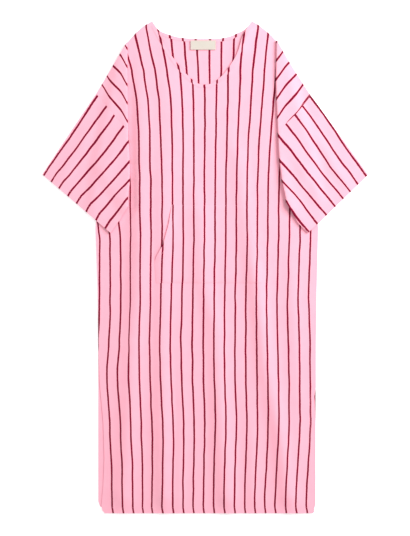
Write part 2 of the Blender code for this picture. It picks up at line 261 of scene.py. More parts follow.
@dataclass
class ShoulderFold:
    """One side of the garment as it lies, in millimetres.

    Args:
        name: left or right, as seen in the photograph.
        sign: -1 on the left and 1 on the right.
        apex: where the valley and the ridge start, at the shoulder.
        ridge_foot: a place low on the ridge, which shows as the crease.
        armpit: the lower end of the hidden valley.
        pleat_foot: where the ridge meets the sleeve's lower edge.
        shoulder_tip: the armhole's upper end, on the yoke as it lies.
        armhole_bow: a place on the armhole's curve.
        armhole_bend: where the armhole goes under the ridge.
        cuff_top: the cuff's upper corner.
        cuff_bottom: the cuff's lower corner.
        body_edge: the body's edge from the sleeve down to the side slit.
        ridge_shade_share: the share of painted shade on the ridge turn: its colour is darkened towards grey
            to stand in for the shadow in the fold.
        ridge_bow: by height, how far the ridge curves to the right.
    """

    name: str
    sign: int
    apex: Point
    ridge_foot: Point
    armpit: Point
    pleat_foot: Point
    shoulder_tip: Point
    armhole_bow: Point
    armhole_bend: Point
    cuff_top: Point
    cuff_bottom: Point
    body_edge: tuple[Point, ...]
    # Painted shade on the ridge turn, as a share of dark grey mixed into its colour.
    ridge_shade_share: float
    ridge_bow: tuple[Point, ...]
    origin: Vector = field(init=False)
    valley_out: Vector = field(init=False)
    ridge_in: Vector = field(init=False)
    flap_out: Vector = field(init=False)
    sleeve_clear: Vector = field(init=False)
    outline: list[Vector] = field(init=False)
    seam: list[Vector] = field(init=False)

    def __post_init__(self) -> None:
        """Works out the directions square to each fold."""
        self.origin = metres(self.apex)
        self.valley_out = self.away(self.apex, self.armpit)
        self.ridge_in = -self.away(self.apex, self.ridge_foot)
        self.flap_out = self.away(self.armpit, self.pleat_foot)
        self.sleeve_clear = -self.away(self.pleat_foot, self.cuff_bottom)
        self.outline = [self.origin, metres(self.armpit), *map(metres, self.body_edge)]
        self.seam = self.armhole(0)

    def away(self, start: Point, end: Point) -> Vector:
        """Unit vector square to a line that runs down, away from the body."""
        return right_of((metres(end) - metres(start)).normalized()) * -self.sign

    def top_of(self, spot: Vector) -> Vector:
        """Where a pattern point past both folds lies, seen from above."""
        spot = spot - self.valley_out * (2 * (spot - self.origin).dot(self.valley_out) - HALF_TURN)
        return spot - self.ridge_in * (2 * (spot - self.origin).dot(self.ridge_in) - HALF_TURN)

    def spread(self, spot: Vector) -> Vector:
        """The pattern point that comes to lie at this spot of the yoke or sleeve."""
        spot = spot + self.ridge_in * (HALF_TURN - 2 * (spot - self.origin).dot(self.ridge_in))
        return self.behind_flap(spot)

    def behind_flap(self, spot: Vector) -> Vector:
        """The pattern point of a spot in the plane of the hidden flap."""
        return spot + self.valley_out * (HALF_TURN - 2 * (spot - self.origin).dot(self.valley_out))

    def rest(self, spot: Vector) -> Resting:
        """Lays a pattern point.

        Args:
            spot: the pattern point, in metres.

        Returns:
            Its place, normal and stretch of the fold.
        """
        past = (spot - self.origin).dot(self.valley_out)
        if past <= 0:
            return Resting(spot.to_3d() + UP * PAIR_HEIGHT, UP, Reach.BODY, 0)
        if past < HALF_TURN:
            foot = spot - self.valley_out * past
            return turned_over(foot, self.valley_out, past, PAIR_HEIGHT, Reach.VALLEY)
        spot = spot - self.valley_out * (2 * past - HALF_TURN)
        height = PAIR_HEIGHT + 2 * FOLD_RADIUS
        past = (spot - self.origin).dot(self.ridge_in)
        if past <= 0:
            return Resting(spot.to_3d() + UP * height, -UP, Reach.FLAP, 0)
        if past < HALF_TURN:
            foot = spot - self.ridge_in * past
            return turned_over(foot, self.ridge_in, past, height, Reach.RIDGE)
        spot = spot - self.ridge_in * (2 * past - HALF_TURN)
        return Resting(spot.to_3d() + UP * (PAIR_HEIGHT + self.rise(spot)), UP, Reach.TOP, 1)

    def rise(self, spot: Vector) -> float:
        """Finds how far the yoke and sleeve lie above the surface's own pair of layers.

        Args:
            spot: a place on them, seen from above.

        Returns:
            The height, which falls by one fold past the flap and by another past the body.
        """
        off_body = (spot.x - between(self.outline, spot.y)) * self.sign
        off_flap = max(off_body, (spot - metres(self.pleat_foot)).dot(self.flap_out))
        slopes = sum(smooth_step(off, RAMP_START, RAMP_LENGTH) for off in (off_body, off_flap))
        return (2 - slopes) * 2 * FOLD_RADIUS

    def from_ridge(self, spot: Vector) -> float:
        """Distance of a spot of the yoke or sleeve from the ridge."""
        return -(spot - self.origin).dot(self.ridge_in)

    def bowed(self, rest: Resting) -> Vector:
        """Bends the cloth beside the ridge along its curve.

        Args:
            rest: where the cloth lies with a straight ridge.

        Returns:
            How far it is moved.
        """
        if rest.reach in (Reach.BODY, Reach.VALLEY):
            return Vector((0, 0, 0))
        spot = rest.place.to_2d()
        share = bell(self.from_ridge(spot), BOW_WIDTH)
        if rest.reach is Reach.FLAP:
            share *= smooth_step((self.origin - spot).dot(self.valley_out), 0, BOW_WIDTH / 2)
        return Vector((along_table(self.ridge_bow, spot.y / MM) * MM * share, 0, 0))

    def clear_of_sleeve(self, spot: Vector) -> float:
        """Distance of a spot of the open body from the sleeve's inner edge."""
        below = (spot - metres(self.pleat_foot)).dot(self.sleeve_clear)
        return max((spot - self.origin).dot(self.ridge_in), below)

    def cuts(self) -> list[tuple[Vector, Vector]]:
        """Sets out the pattern lines that cut both turns into steps.

        Returns:
            Each line, as a point on it and a direction square to it.
        """
        ridge_back = self.ridge_in - self.valley_out * (2 * self.ridge_in.dot(self.valley_out))
        lines = []
        for step in range(FOLD_STEPS + 1):
            past = HALF_TURN * step / FOLD_STEPS
            lines.append((self.origin + self.valley_out * past, self.valley_out))
            lines.append((self.behind_flap(self.origin + self.ridge_in * past), ridge_back))
        return lines

    def armhole(self, outward: float) -> list[Vector]:
        """Draws the armhole on the pattern.

        Args:
            outward: how far it is moved out from the seam.

        Returns:
            Its points, from shoulder to armpit.
        """
        seen = (self.shoulder_tip, self.armhole_bow, self.armhole_bend)
        line = [*(self.spread(metres(point)) for point in seen), metres(self.armpit)]
        out = right_of((line[-1] - line[0]).normalized()) * -self.sign
        return [spot + out * outward for spot in line]


def turned_over(foot: Vector, out: Vector, past: float, height: float, reach: Reach) -> Resting:
    """A point part of the way round a fold.

    Args:
        foot: the point's foot on the fold line.
        out: direction square to the fold, from the layer that comes in.
        past: length of cloth past the fold line.
        height: height of the layer that comes in.
        reach: which of the two folds it is.

    Returns:
        The point's resting place.
    """
    angle = past / FOLD_RADIUS
    facing = 1 if reach is Reach.VALLEY else -1
    place = foot.to_3d() + out.to_3d() * (FOLD_RADIUS * math.sin(angle))
    place += UP * (height + FOLD_RADIUS * (1 - math.cos(angle)))
    normal = (UP * math.cos(angle) - out.to_3d() * math.sin(angle)) * facing
    return Resting(place, normal, reach, past / HALF_TURN if reach is Reach.RIDGE else 0)


LEFT = ShoulderFold(
    name="left", sign=-1,
    apex=(-195, 560), ridge_foot=(-191, 200), armpit=(-262, 260), pleat_foot=(-190, 153),
    shoulder_tip=(-271.5, 433), armhole_bow=(-232, 388), armhole_bend=(-192, 343),
    cuff_top=(-406, 231.5), cuff_bottom=(-236, 86),
    body_edge=((-273.5, 98), (-268, -60), (-266.5, -200)), ridge_shade_share=0.1,
    ridge_bow=(
        (540, -1), (480, -2), (370, -2.2), (320, -1.0), (270, 1.0),
        (235, 1.5), (205, 0.5), (178, -4), (150, -3), (120, 0),
    ),
)
RIGHT = ShoulderFold(
    name="right", sign=1,
    apex=(179, 565), ridge_foot=(194, 218), armpit=(262, 265), pleat_foot=(201, 158),
    shoulder_tip=(264.5, 428.5), armhole_bow=(230.5, 383.5), armhole_bend=(182, 332),
    cuff_top=(407.5, 231), cuff_bottom=(259.5, 86.5),
    body_edge=((283, 98), (279, -60), (277, -200)), ridge_shade_share=0.25,
    ridge_bow=(
        (563, 1), (513, -2), (475, -4.2), (440, -5.3), (340, -5.5), (300, -6), (270, -5), (215, -1),
        (165, 7.5), (140, 2), (125, -3), (108, -14), (92, -15), (84, -5), (75, 0),
    ),
)


def side_of(spot: Vector) -> ShoulderFold:
    """The side of the garment that a spot is on."""
    return LEFT if spot.x < 0 else RIGHT


@dataclass(frozen=True)
class Crest:
    """A soft fold, in millimetres.

    Args:
        rows: x, y and height along its top, from its upper end down.
        half_width: how far it reaches to each side.
        fade: how far above and below its upper end it fades in.
    """

    rows: tuple[Triple, ...]
    half_width: float
    fade: float = 90

    def height(self, spot: Vector) -> float:
        """Measures the fold at a spot.

        Args:
            spot: the place, in metres.

        Returns:
            The fold's height there, in metres.
        """
        across, down = spot.x / MM, spot.y / MM
        line = tuple((y, x) for x, y, _ in self.rows)
        heights = tuple((y, height) for _, y, height in self.rows)
        aside = (across - along_table(line, down)) / self.half_width
        ends = smooth_step(line[0][0] - down, -self.fade, 2 * self.fade)
        return along_table(heights, down) * MM * bell(aside, 1) * ends


@dataclass(frozen=True)
class Drape:
    """The soft folds of the body and the sleeves, and the fuller roll along each ridge.

    Args:
        body: the folds of the front.
        left_top: those of the left sleeve.
        right_top: those of the right sleeve.
        left_roll: by height in millimetres, how high the cloth rolls beside the left ridge.
        right_roll: the same beside the right ridge.
        roll_width: how far the rolls reach, in metres.
        ripple: height of the small creases.
        small_share: share of the ripple that its smaller creases have.
        ripple_lift: what keeps the ripples above the flat layer, in ripples.
        at_hem: share of their height that the folds keep at the hem.
        hem_settle: length over which they lose the rest.
        edge_start: where the folds start beside the body's edge.
        edge_rise: length over which they rise from there.
        sleeve_start: where they start beside the sleeve's lower edge.
        sleeve_rise: length over which they rise from there.
    """

    body: tuple[Crest, ...] = (
        Crest((
            (-168, 500, 1.5), (-164, 400, 4.0), (-162, 300, 5.5), (-162, 60, 8.0),
            (-166, -60, 8.0), (-178, -180, 5.5), (-186, -330, 6.0), (-205, -560, 7.0),
        ), 25),
        Crest(((-95, 500, 6.0), (-95, 300, 7.5), (-98, 60, 6.0), (-108, -60, 4.0), (-120, -160, 1.0)), 62),
        Crest(((-107, 290, 2.0), (-108, -165, 4.5), (-104, -400, 7.0), (-102, -582, 8.0)), 20),
        Crest((
            (-22, 215, 1.5), (-12, 125, 5.0), (-6, -30, 5.0),
            (28, -165, 5.5), (42, -415, 7.5), (52, -582, 9.5),
        ), 23),
        Crest((
            (62, 330, 2.0), (84, 270, 3.5), (106, 85, 4.5), (128, -40, 8.0),
            (138, -130, 8.5), (152, -250, 6.5), (190, -430, 7.0), (212, -600, 8.0),
        ), 22),
        Crest(((-62, -120, 0.5), (-58, -330, 2.0), (-64, -590, 2.6)), 13, 60),
        Crest(((108, -330, 0.5), (118, -470, 2.2), (122, -600, 3.0)), 15, 60),
        Crest(((210, 60, 0.8), (222, -120, 2.4), (232, -300, 1.2)), 16, 60),
        Crest(((114, 600, 4.0), (92, 560, 5.0), (76, 520, 4.0), (48, 480, 1.8), (20, 460, 0.5)), 18, 10),
    )
    left_top: tuple[Crest, ...] = (
        Crest(((-250, 400, 0.5), (-300, 320, 2.2), (-350, 235, 1.6), (-372, 200, 1.0)), 17, 30),
        Crest(((-196, 350, 0.8), (-238, 265, 2.4), (-275, 190, 1.8), (-300, 140, 0.8)), 19, 30),
    )
    right_top: tuple[Crest, ...] = (
        Crest(((240, 395, 0.6), (282, 320, 1.8), (330, 240, 2.2), (360, 195, 1.2)), 15, 30),
        Crest(((200, 330, 1.2), (246, 245, 2.6), (282, 180, 1.6), (306, 140, 0.8)), 20, 30),
    )
    left_roll: tuple[Point, ...] = ((560, 0.6), (400, 1.2), (200, 1.6), (100, 2.4))
    right_roll: tuple[Point, ...] = (
        (560, 0.2), (480, 0.6), (380, 1.2), (300, 2.4), (215, 4.5), (150, 4.5), (90, 1.5),
    )
    roll_width: float = 18 * MM
    ripple: float = 0.55 * MM
    small_share: float = 0.4
    ripple_lift: float = 0.9
    at_hem: float = 0.35
    hem_settle: float = 45 * MM
    edge_start: float = 4 * MM
    edge_rise: float = 34 * MM
    sleeve_start: float = 3 * MM
    sleeve_rise: float = 24 * MM

    def ripples(self, spot: Vector) -> float:
        """Measures the small long creases.

        Args:
            spot: the place, in metres.

        Returns:
            Their height, in metres.
        """
        long = cloth_noise(spot, across=0.034, along=0.21, seed=3.7)
        small = cloth_noise(spot, across=0.016, along=0.07, seed=9.1)
        return self.ripple * (long + self.small_share * small + self.ripple_lift)

    def on_body(self, spot: Vector) -> float:
        """Measures the front's folds where it lies open.

        Args:
            spot: the pattern point.

        Returns:
            The height of the front above its flat layer.
        """
        side = side_of(spot)
        inside = (between(side.outline, spot.y) - spot.x) * side.sign
        open_front = smooth_step(inside, self.edge_start, self.edge_rise)
        open_front *= smooth_step(side.clear_of_sleeve(spot), self.sleeve_start, self.sleeve_rise)
        settled = self.at_hem + (1 - self.at_hem) * smooth_step(spot.y, HEM_LEVEL, self.hem_settle)
        folds = sum(crest.height(spot) for crest in self.body)
        return (folds + self.ripples(spot)) * open_front * settled

    def on_top(self, side: ShoulderFold, rest: Resting) -> float:
        """Measures the folds of a yoke and sleeve.

        Args:
            side: which side they are on.
            rest: where the pattern point lies.

        Returns:
            Their height above the flat layer.
        """
        spot = rest.place.to_2d()
        heights, crests = self.right_roll, self.right_top
        if side is LEFT:
            heights, crests = self.left_roll, self.left_top
        inside = min(side.from_ridge(spot), -(spot - metres(side.pleat_foot)).dot(side.sleeve_clear))
        roll = along_table(heights, spot.y / MM) * MM * bell(max(inside, 0), self.roll_width)
        folds = sum(crest.height(spot) for crest in crests)
        return (roll + folds + self.ripples(spot)) * rest.turned


DRAPE = Drape()


@lru_cache(maxsize=None)
def resting(x: float, y: float) -> tuple[Vector, Vector, float]:
    """Lays a pattern point in the middle of the front and back pair.

    Args:
        x: the pattern point's X, in metres.
        y: its Y.

    Returns:
        Its place, its normal and the relief of the front there.
    """
    spot = Vector((x, y))
    side = side_of(spot)
    rest = side.rest(spot)
    if rest.reach is Reach.BODY:
        return rest.place, rest.normal, DRAPE.on_body(spot)
    return rest.place + side.bowed(rest), rest.normal, DRAPE.on_top(side, rest)


def laid(spot: Vector, layers_up: float, back: bool) -> Vector:
    """Where a pattern point of one layer lies.

    Args:
        spot: the pattern point, in metres.
        layers_up: layers above the middle of the front and back pair.
        back: whether it is a back layer, which follows the soft folds less.

    Returns:
        The place, in metres.
    """
    place, normal, height = resting(spot.x, spot.y)
    if back:
        height *= HEM_RELIEF + (BACK_RELIEF - HEM_RELIEF) * smooth_step(spot.y, HEM_LEVEL, HEM_REACH)
    return place + normal * (LAYER * layers_up) + UP * height


@dataclass(frozen=True)
class StripeRun:
    """Stripes across a yoke as it lies.

    Args:
        start: a place on the first stripe, in millimetres.
        slope: degrees from straight down, towards the right of the view.
        pitch: their spacing, in millimetres.
        sway: distances from the ridge in millimetres, and the stripes by which the cloth is moved there.
    """

    start: Point
    slope: float
    pitch: float
    sway: tuple[Point, ...]

    def count(self, spot: Vector, from_ridge: float) -> float:
        """Counts the stripes between the first one and a spot.

        Args:
            spot: the place, seen from above.
            from_ridge: its distance from the ridge.

        Returns:
            The stripes, with a fraction between two.
        """
        angle = math.radians(self.slope)
        aside = Vector((math.cos(angle), math.sin(angle)))
        even = (spot - metres(self.start)).dot(aside) / (self.pitch * MM)
        return even - along_table(self.sway, from_ridge / MM)


@dataclass(frozen=True)
class StripeFan:
    """Stripes that spread along a sleeve, in millimetres.

    Args:
        on_seam: from the shoulder tip down to where each stripe crosses the armhole seam or its run.
        on_cuff: from the upper cuff corner down to where each stripe ends.
        sway: distances from the cuff, and the stripes by which the cloth is moved there.
        swayed: the stripe that sways most, and how many beside it still do.
    """

    on_seam: tuple[float, ...]
    on_cuff: tuple[float, ...]
    sway: tuple[Point, ...]
    swayed: Point

    def count(self, side: ShoulderFold, spot: Vector) -> float:
        """Counts the stripes between the first one and a spot, in steps that draw nearer.

        Args:
            side: which sleeve it is.
            spot: the place on it, seen from above.

        Returns:
            The stripes, with a fraction between two.
        """
        seam, cuff = metres(side.shoulder_tip), metres(side.cuff_top)
        down_seam = (metres(side.armhole_bend) - seam).normalized()
        down_cuff = (metres(side.cuff_bottom) - cuff).normalized()
        count = (spot - seam).dot(down_seam) / self.mean_pitch()
        for _ in range(FAN_PASSES):
            start = seam + down_seam * place_of(self.on_seam, count)
            run = cuff + down_cuff * place_of(self.on_cuff, count) - start
            aside = right_of(run.normalized()) * side.sign
            count += (spot - start).dot(aside) / (self.mean_pitch() * aside.dot(down_seam))
        from_cuff = abs((spot - cuff).dot(right_of(down_cuff)))
        middle, width = self.swayed
        return count + along_table(self.sway, from_cuff / MM) * bell(count - middle, width)

    def mean_pitch(self) -> float:
        """Mean spacing along the seam, in metres."""
        return (self.on_seam[-1] - self.on_seam[0]) / (len(self.on_seam) - 1) * MM


def place_of(places: tuple[float, ...], count: float) -> float:
    """Where a stripe count lies, in metres: between the places of whole stripes, or past their ends."""
    first = min(max(math.floor(count), 0), len(places) - 2)
    return (places[first] + (places[first + 1] - places[first]) * (count - first)) * MM


@dataclass(frozen=True)
class Gather:
    """A place where the cloth is drawn aside, in millimetres.

    Args:
        start: the x where the cloth starts to be moved.
        end: the x from which all of it is.
        rows: heights, and the stripes by which it is moved there.
    """

    start: float
    end: float
    rows: tuple[Point, ...]

    def moved(self, spot: Vector) -> float:
        """Measures how far the cloth is moved at a spot.

        Args:
            spot: the pattern point.

        Returns:
            The stripes by which it is moved.
        """
        height = spot.y / MM
        if height < self.rows[-1][0]:
            return 0.0
        direction = 1 if self.end > self.start else -1
        aside = smooth_step(spot.x / MM * direction, self.start * direction, abs(self.end - self.start))
        return along_table(self.rows, height) * aside


@dataclass(frozen=True)
class StripePlan:
    """Where the woven stripes run on each stretch of the garment, in millimetres.

    Args:
        front_middle: by height, x of the front's middle stripe.
        front_pitch: by height, the spacing of its stripes.
        back_middle: by height, x midway between the back's two middle stripes.
        back_pitch: by height, the spacing of its stripes.
        gathers: where the front's cloth is drawn aside.
        left_yoke: the stripes of the left yoke.
        right_yoke: those of the right yoke.
        left_sleeve: those of the left sleeve.
        right_sleeve: those of the right sleeve.
        wander: how far each stripe strays slowly, in stripes.
        tremble: how far it strays quickly.
    """

    front_middle: tuple[Point, ...] = (
        (600, -8), (543, -5.5), (493, -2), (418, 0.6), (318, -0.6), (218, -0.7), (68, -1.4), (-82, -4.5),
        (-182, -5.7), (-282, -4.2), (-332, -2.2), (-382, -0.3), (-432, -0.5), (-532, -3.5),
        (-598, -4.6), (-614, -2.2),
    )
    front_pitch: tuple[Point, ...] = (
        (600, 35.2), (543, 32.9), (493, 30.5), (418, 28.6), (318, 27.3), (218, 26.6), (68, 26.5),
        (-82, 26.3), (-182, 26.7), (-282, 26.7), (-432, 26.2), (-582, 25.7),
    )
    back_middle: tuple[Point, ...] = (
        (600, -5.6), (568, -5.6), (483, -2.8), (443, -2.3), (-320, -2.8), (-430, 2.5), (-620, 2.5),
    )
    back_pitch: tuple[Point, ...] = (
        (600, 31.6), (568, 31.4), (523, 30.1), (460, 27.8), (368, 27), (-332, 26.5), (-582, 26.3),
    )
    gathers: tuple[Gather, ...] = (
        Gather(-132, -158, ((600, -0.16), (550, -0.13), (470, 0))),
        Gather(132, 158, ((600, 0.26), (550, 0.2), (470, 0))),
        Gather(-180, -200, (
            (120, 0), (70, -0.13), (-40, -0.15), (-80, -0.14), (-130, -0.19), (-200, -0.17), (-250, 0),
        )),
        Gather(-110, -145, ((340, 0), (270, 0.12), (140, 0.13), (80, 0))),
        Gather(-176, -186, ((235, 0), (200, -0.13), (110, -0.15), (60, 0))),
        Gather(-196, -208, ((235, 0), (200, 0.13), (110, 0.15), (60, 0))),
        Gather(-240, -254, ((-480, 0), (-540, 0.28), (-620, 0.28))),
        Gather(-120, -165, ((-430, 0), (-500, -0.13), (-620, -0.15))),
    )
    left_yoke: StripeRun = StripeRun(
        start=(-212.5, 527), slope=35.5, pitch=25.6,
        sway=(
            (80, -0.2), (68, -0.1), (60, -0.04), (46, -0.14), (34, -0.06),
            (24, 0.04), (14, 0.13), (6, 0.08), (0, 0),
        ),
    )
    right_yoke: StripeRun = StripeRun(
        start=(211, 511), slope=-36, pitch=29.4,
        sway=((80, 0), (62, 0), (46, 0.07), (34, 0.02), (20, -0.02), (10, 0.03), (0, 0.06)),
    )
    left_sleeve: StripeFan = StripeFan(
        on_seam=(5, 40, 72, 108.5, 141.5, 173, 201, 226.5),
        on_cuff=(4.5, 28.7, 54.5, 83, 111.7, 142.9, 175.2, 207.3),
        sway=((190, 0), (150, -0.03), (110, -0.05), (60, 0), (40, 0.05), (22, 0.12), (10, 0.07), (0, 0)),
        swayed=(4, 4),
    )
    right_sleeve: StripeFan = StripeFan(
        on_seam=(2, 30.5, 60, 92, 123, 163, 195.5, 229),
        on_cuff=(6, 35.3, 61.7, 85.6, 114.4, 145.8, 175.5, 203.5),
        sway=((190, 0), (150, -0.1), (110, -0.17), (80, -0.18), (30, -0.08), (0, 0)),
        swayed=(2.6, 1.8),
    )
    wander: float = 0.06
    tremble: float = 0.035

    def waver(self, spot: Vector, seed: float) -> float:
        """Makes the stripes stray a little.

        Args:
            spot: the place on the cloth.
            seed: which cloth it is.

        Returns:
            How far they stray there, in stripes.
        """
        slow = cloth_noise(spot, across=0.075, along=0.16, seed=seed)
        quick = cloth_noise(spot, across=0.03, along=0.035, seed=seed + 5)
        return self.wander * slow + self.tremble * quick

    def on_front(self, spot: Vector) -> float:
        """Counts the stripes across the front.

        Args:
            spot: the pattern point.

        Returns:
            The stripe count, 0 at the middle stripe.
        """
        height = spot.y / MM
        aside = spot.x / MM - along_table(self.front_middle, height)
        gathered = sum(gather.moved(spot) for gather in self.gathers)
        return aside / along_table(self.front_pitch, height) + gathered

    def on_back(self, spot: Vector) -> float:
        """Counts the stripes across the back, whose middle lies between two of them.

        Args:
            spot: the pattern point.

        Returns:
            The stripe count, 0.5 at the middle.
        """
        height = spot.y / MM
        aside = spot.x / MM - along_table(self.back_middle, height)
        return aside / along_table(self.back_pitch, height) + 0.5

    def on_yoke(self, side: ShoulderFold, spot: Vector) -> float:
        """Stripe count on a yoke as it lies."""
        return (self.left_yoke if side is LEFT else self.right_yoke).count(spot, side.from_ridge(spot))


STRIPES = StripePlan()


def body_count(spot: Vector, back: bool) -> float:
    """Stripe count of a pattern point of a body panel.

    Args:
        spot: the pattern point, in metres.
        back: whether it is on the back.

    Returns:
        The stripe count, whole on a stripe.
    """
    side = side_of(spot)
    if (spot - side.origin).dot(side.valley_out) > HALF_TURN:
        on_top = side.top_of(spot)
        return STRIPES.on_yoke(side, on_top) + STRIPES.waver(on_top, 4.5)
    count = STRIPES.on_back(spot) if back else STRIPES.on_front(spot)
    return count + STRIPES.waver(spot, 8.5 if back else 0.5)


@dataclass
class ClothPiece:
    """One sewn piece: a flat pattern with its grid, wall and layer.

    Args:
        name: the piece's name.
        node: the CAD node that it replaces.
        outline: the pattern's outline, in metres.
        layers_up: its layer above the middle of the front and back pair.
        flat: width and length that it was cut to.
        area: its flat area in square metres.
        rests_on: what it lies on.
        step: side of the grid's squares.
        back: whether it lies with the back and has its stripes.
        wall: thickness of its cloth.
        slot: not used.
    """

    name: str
    node: str
    outline: list[Vector]
    layers_up: float
    flat: tuple[float, float]
    area: float
    rests_on: list[str]
    step: float = 6 * MM
    back: bool = False
    wall: float = WALL
    slot: str = "cotton"

    def stripe_count(self, spot: Vector) -> float:
        """Stripe count at a pattern point."""
        return body_count(spot, self.back)

    def pattern(self) -> bmesh.types.BMesh:
        """Cuts the flat pattern along the folds and into a grid.

        Returns:
            The pattern's mesh, in the plane of the cloth.
        """
        sheet = bmesh.new()
        sheet.faces.new([sheet.verts.new(spot.to_3d()) for spot in self.outline])
        low = Vector(min(spot[axis] for spot in self.outline) for axis in (0, 1))
        high = Vector(max(spot[axis] for spot in self.outline) for axis in (0, 1))
        for axis in (0, 1):
            square = Vector((1 - axis, axis, 0))
            first = math.floor(low[axis] / self.step) + 1
            for count in range(first, math.ceil(high[axis] / self.step)):
                bisect(sheet, square * (count * self.step), square)
        for side in (LEFT, RIGHT):
            for place, square in side.cuts():
                cut_side(sheet, side, place, square)
        return sheet

    def dress_uv(self, sheet: bmesh.types.BMesh) -> None:
        """Writes the stripe map on the flat pattern, and the painted shade of each face: the ridge turn's
        faces are darkened to stand in for the shadow in the fold.

        Args:
            sheet: the flat pattern's mesh.
        """
        layer = sheet.loops.layers.uv.new("Stripes")
        shade_layer = sheet.faces.layers.float.new("Rubbed grey")
        for face in sheet.faces:
            middle = face.calc_center_median().to_2d()
            side = side_of(middle)
            # Faces of the ridge turn get painted shade: a share of dark grey that stands in for the shadow
            # in the fold.
            face[shade_layer] = side.ridge_shade_share if side.rest(middle).reach is Reach.RIDGE else 0.0
            for loop in face.loops:
                spot = loop.vert.co.to_2d()
                loop[layer].uv = (self.stripe_count(spot), spot.y / STRIPE_PITCH)

    def shape(self, sheet: bmesh.types.BMesh) -> None:
        """Adds what the pattern needs beside its one layer."""

    def lift(self, spot: Vector) -> float:
        """How far a pattern point stands off what it lies on: the armhole seams pull it down a little."""
        return -SEAM_DIP * bell(off_line(side_of(spot).seam, spot), SEAM_WIDTH)

    def fullness(self, spot: Vector) -> float:
        """Share of the wall's thickness at a pattern point."""
        return 1.0

    def skin_at(self, spot: Vector, under: bool = False) -> Vector:
        """Finds a place on the piece's skin.

        Args:
            spot: the pattern point.
            under: whether it is the under skin.

        Returns:
            The place, as the piece lies.
        """
        up = self.layers_up * LAYER + (-0.5 if under else self.fullness(spot) - 0.5) * self.wall
        return laid(spot, up / LAYER, self.back) + UP * self.lift(spot)

    def build(self) -> bpy.types.Object:
        """Raises the pattern to its layer, gives it its wall and lays it.

        Returns:
            The finished object.
        """
        sheet = self.pattern()
        self.dress_uv(sheet)
        bmesh.ops.translate(sheet, verts=sheet.verts, vec=UP * (LAYER * self.layers_up))
        self.shape(sheet)
        sheet.normal_update()
        skin = sheet.verts.layers.float_vector.new("skin")
        for vert in sheet.verts:
            vert[skin] = vert.normal * (vert.calc_shell_factor() * self.wall / 2)
        raised = bmesh.ops.extrude_face_region(sheet, geom=sheet.faces[:])["geom"]
        outer = {part for part in raised if isinstance(part, bmesh.types.BMVert)}
        for vert in sheet.verts:
            flat = vert.co.to_2d()
            share = 2 * self.fullness(flat) - 1 if vert in outer else -1
            spot = vert.co + vert[skin] * share
            vert.co = laid(spot.to_2d(), spot.z / LAYER, self.back or spot.z < 0)
            if spot.z > 0:
                vert.co += UP * self.lift(flat)
        bmesh.ops.recalc_face_normals(sheet, faces=sheet.faces)
        return finish_mesh(self.name, sheet)

    def dress(self, material: bpy.types.Material) -> bpy.types.Object:
        """Args:
            material: the finish of its cloth.

        Returns:
            The finished object.
        """
        piece = self.build()
        piece.data.materials.append(material)
        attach(piece, "root")
        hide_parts(self.node)
        LOG.info("%s: %d faces", self.name, len(piece.data.polygons))
        return piece


def bisect(sheet: bmesh.types.BMesh, place: Vector, square: Vector) -> None:
    """Cuts every face along a line of the pattern plane."""
    geometry = [*sheet.verts, *sheet.edges, *sheet.faces]
    bmesh.ops.bisect_plane(sheet, geom=geometry, dist=CUT_MERGE, plane_co=place, plane_no=square)


def cut_side(sheet: bmesh.types.BMesh, side: ShoulderFold, place: Vector, square: Vector) -> None:
    """Cuts the faces near one side's fold along a line of the pattern plane.

    Args:
        sheet: the pattern's mesh.
        side: the side whose fold it is.
        place: a point on the line, in two dimensions.
        square: a direction square to it.
    """
    foot = metres(side.pleat_foot).y
    faces = []
    for face in sheet.faces:
        middle = face.calc_center_median()
        near = abs((middle.to_2d() - place).dot(square)) < CUT_NEAR
        if near and middle.x * side.sign > CUT_FROM and middle.y > foot:
            faces.append(face)
    geometry = set(faces)
    for face in faces:
        geometry.update(face.edges)
        geometry.update(face.verts)
    bmesh.ops.bisect_plane(
        sheet, geom=list(geometry), dist=CUT_MERGE, plane_co=place.to_3d(), plane_no=square.to_3d()
    )


def placed(name: str, data: bpy.types.ID) -> bpy.types.Object:
    """Puts an object into the scene.

    Args:
        name: the object's name.
        data: its mesh, camera or light.

    Returns:
        The object.
    """
    made = bpy.data.objects.new(name, data)
    bpy.context.scene.collection.objects.link(made)
    return made


def finish_mesh(name: str, form: bmesh.types.BMesh) -> bpy.types.Object:
    """Turns a form into a smooth-shaded object with sharp wall edges.

    Args:
        name: the object's name.
        form: its form, which is used up.

    Returns:
        The object.
    """
    mesh = bpy.data.meshes.new(name)
    form.to_mesh(mesh)
    form.free()
    mesh.shade_smooth()
    mesh.set_sharp_from_angle(angle=SHARP_ANGLE)
    return placed(name, mesh)


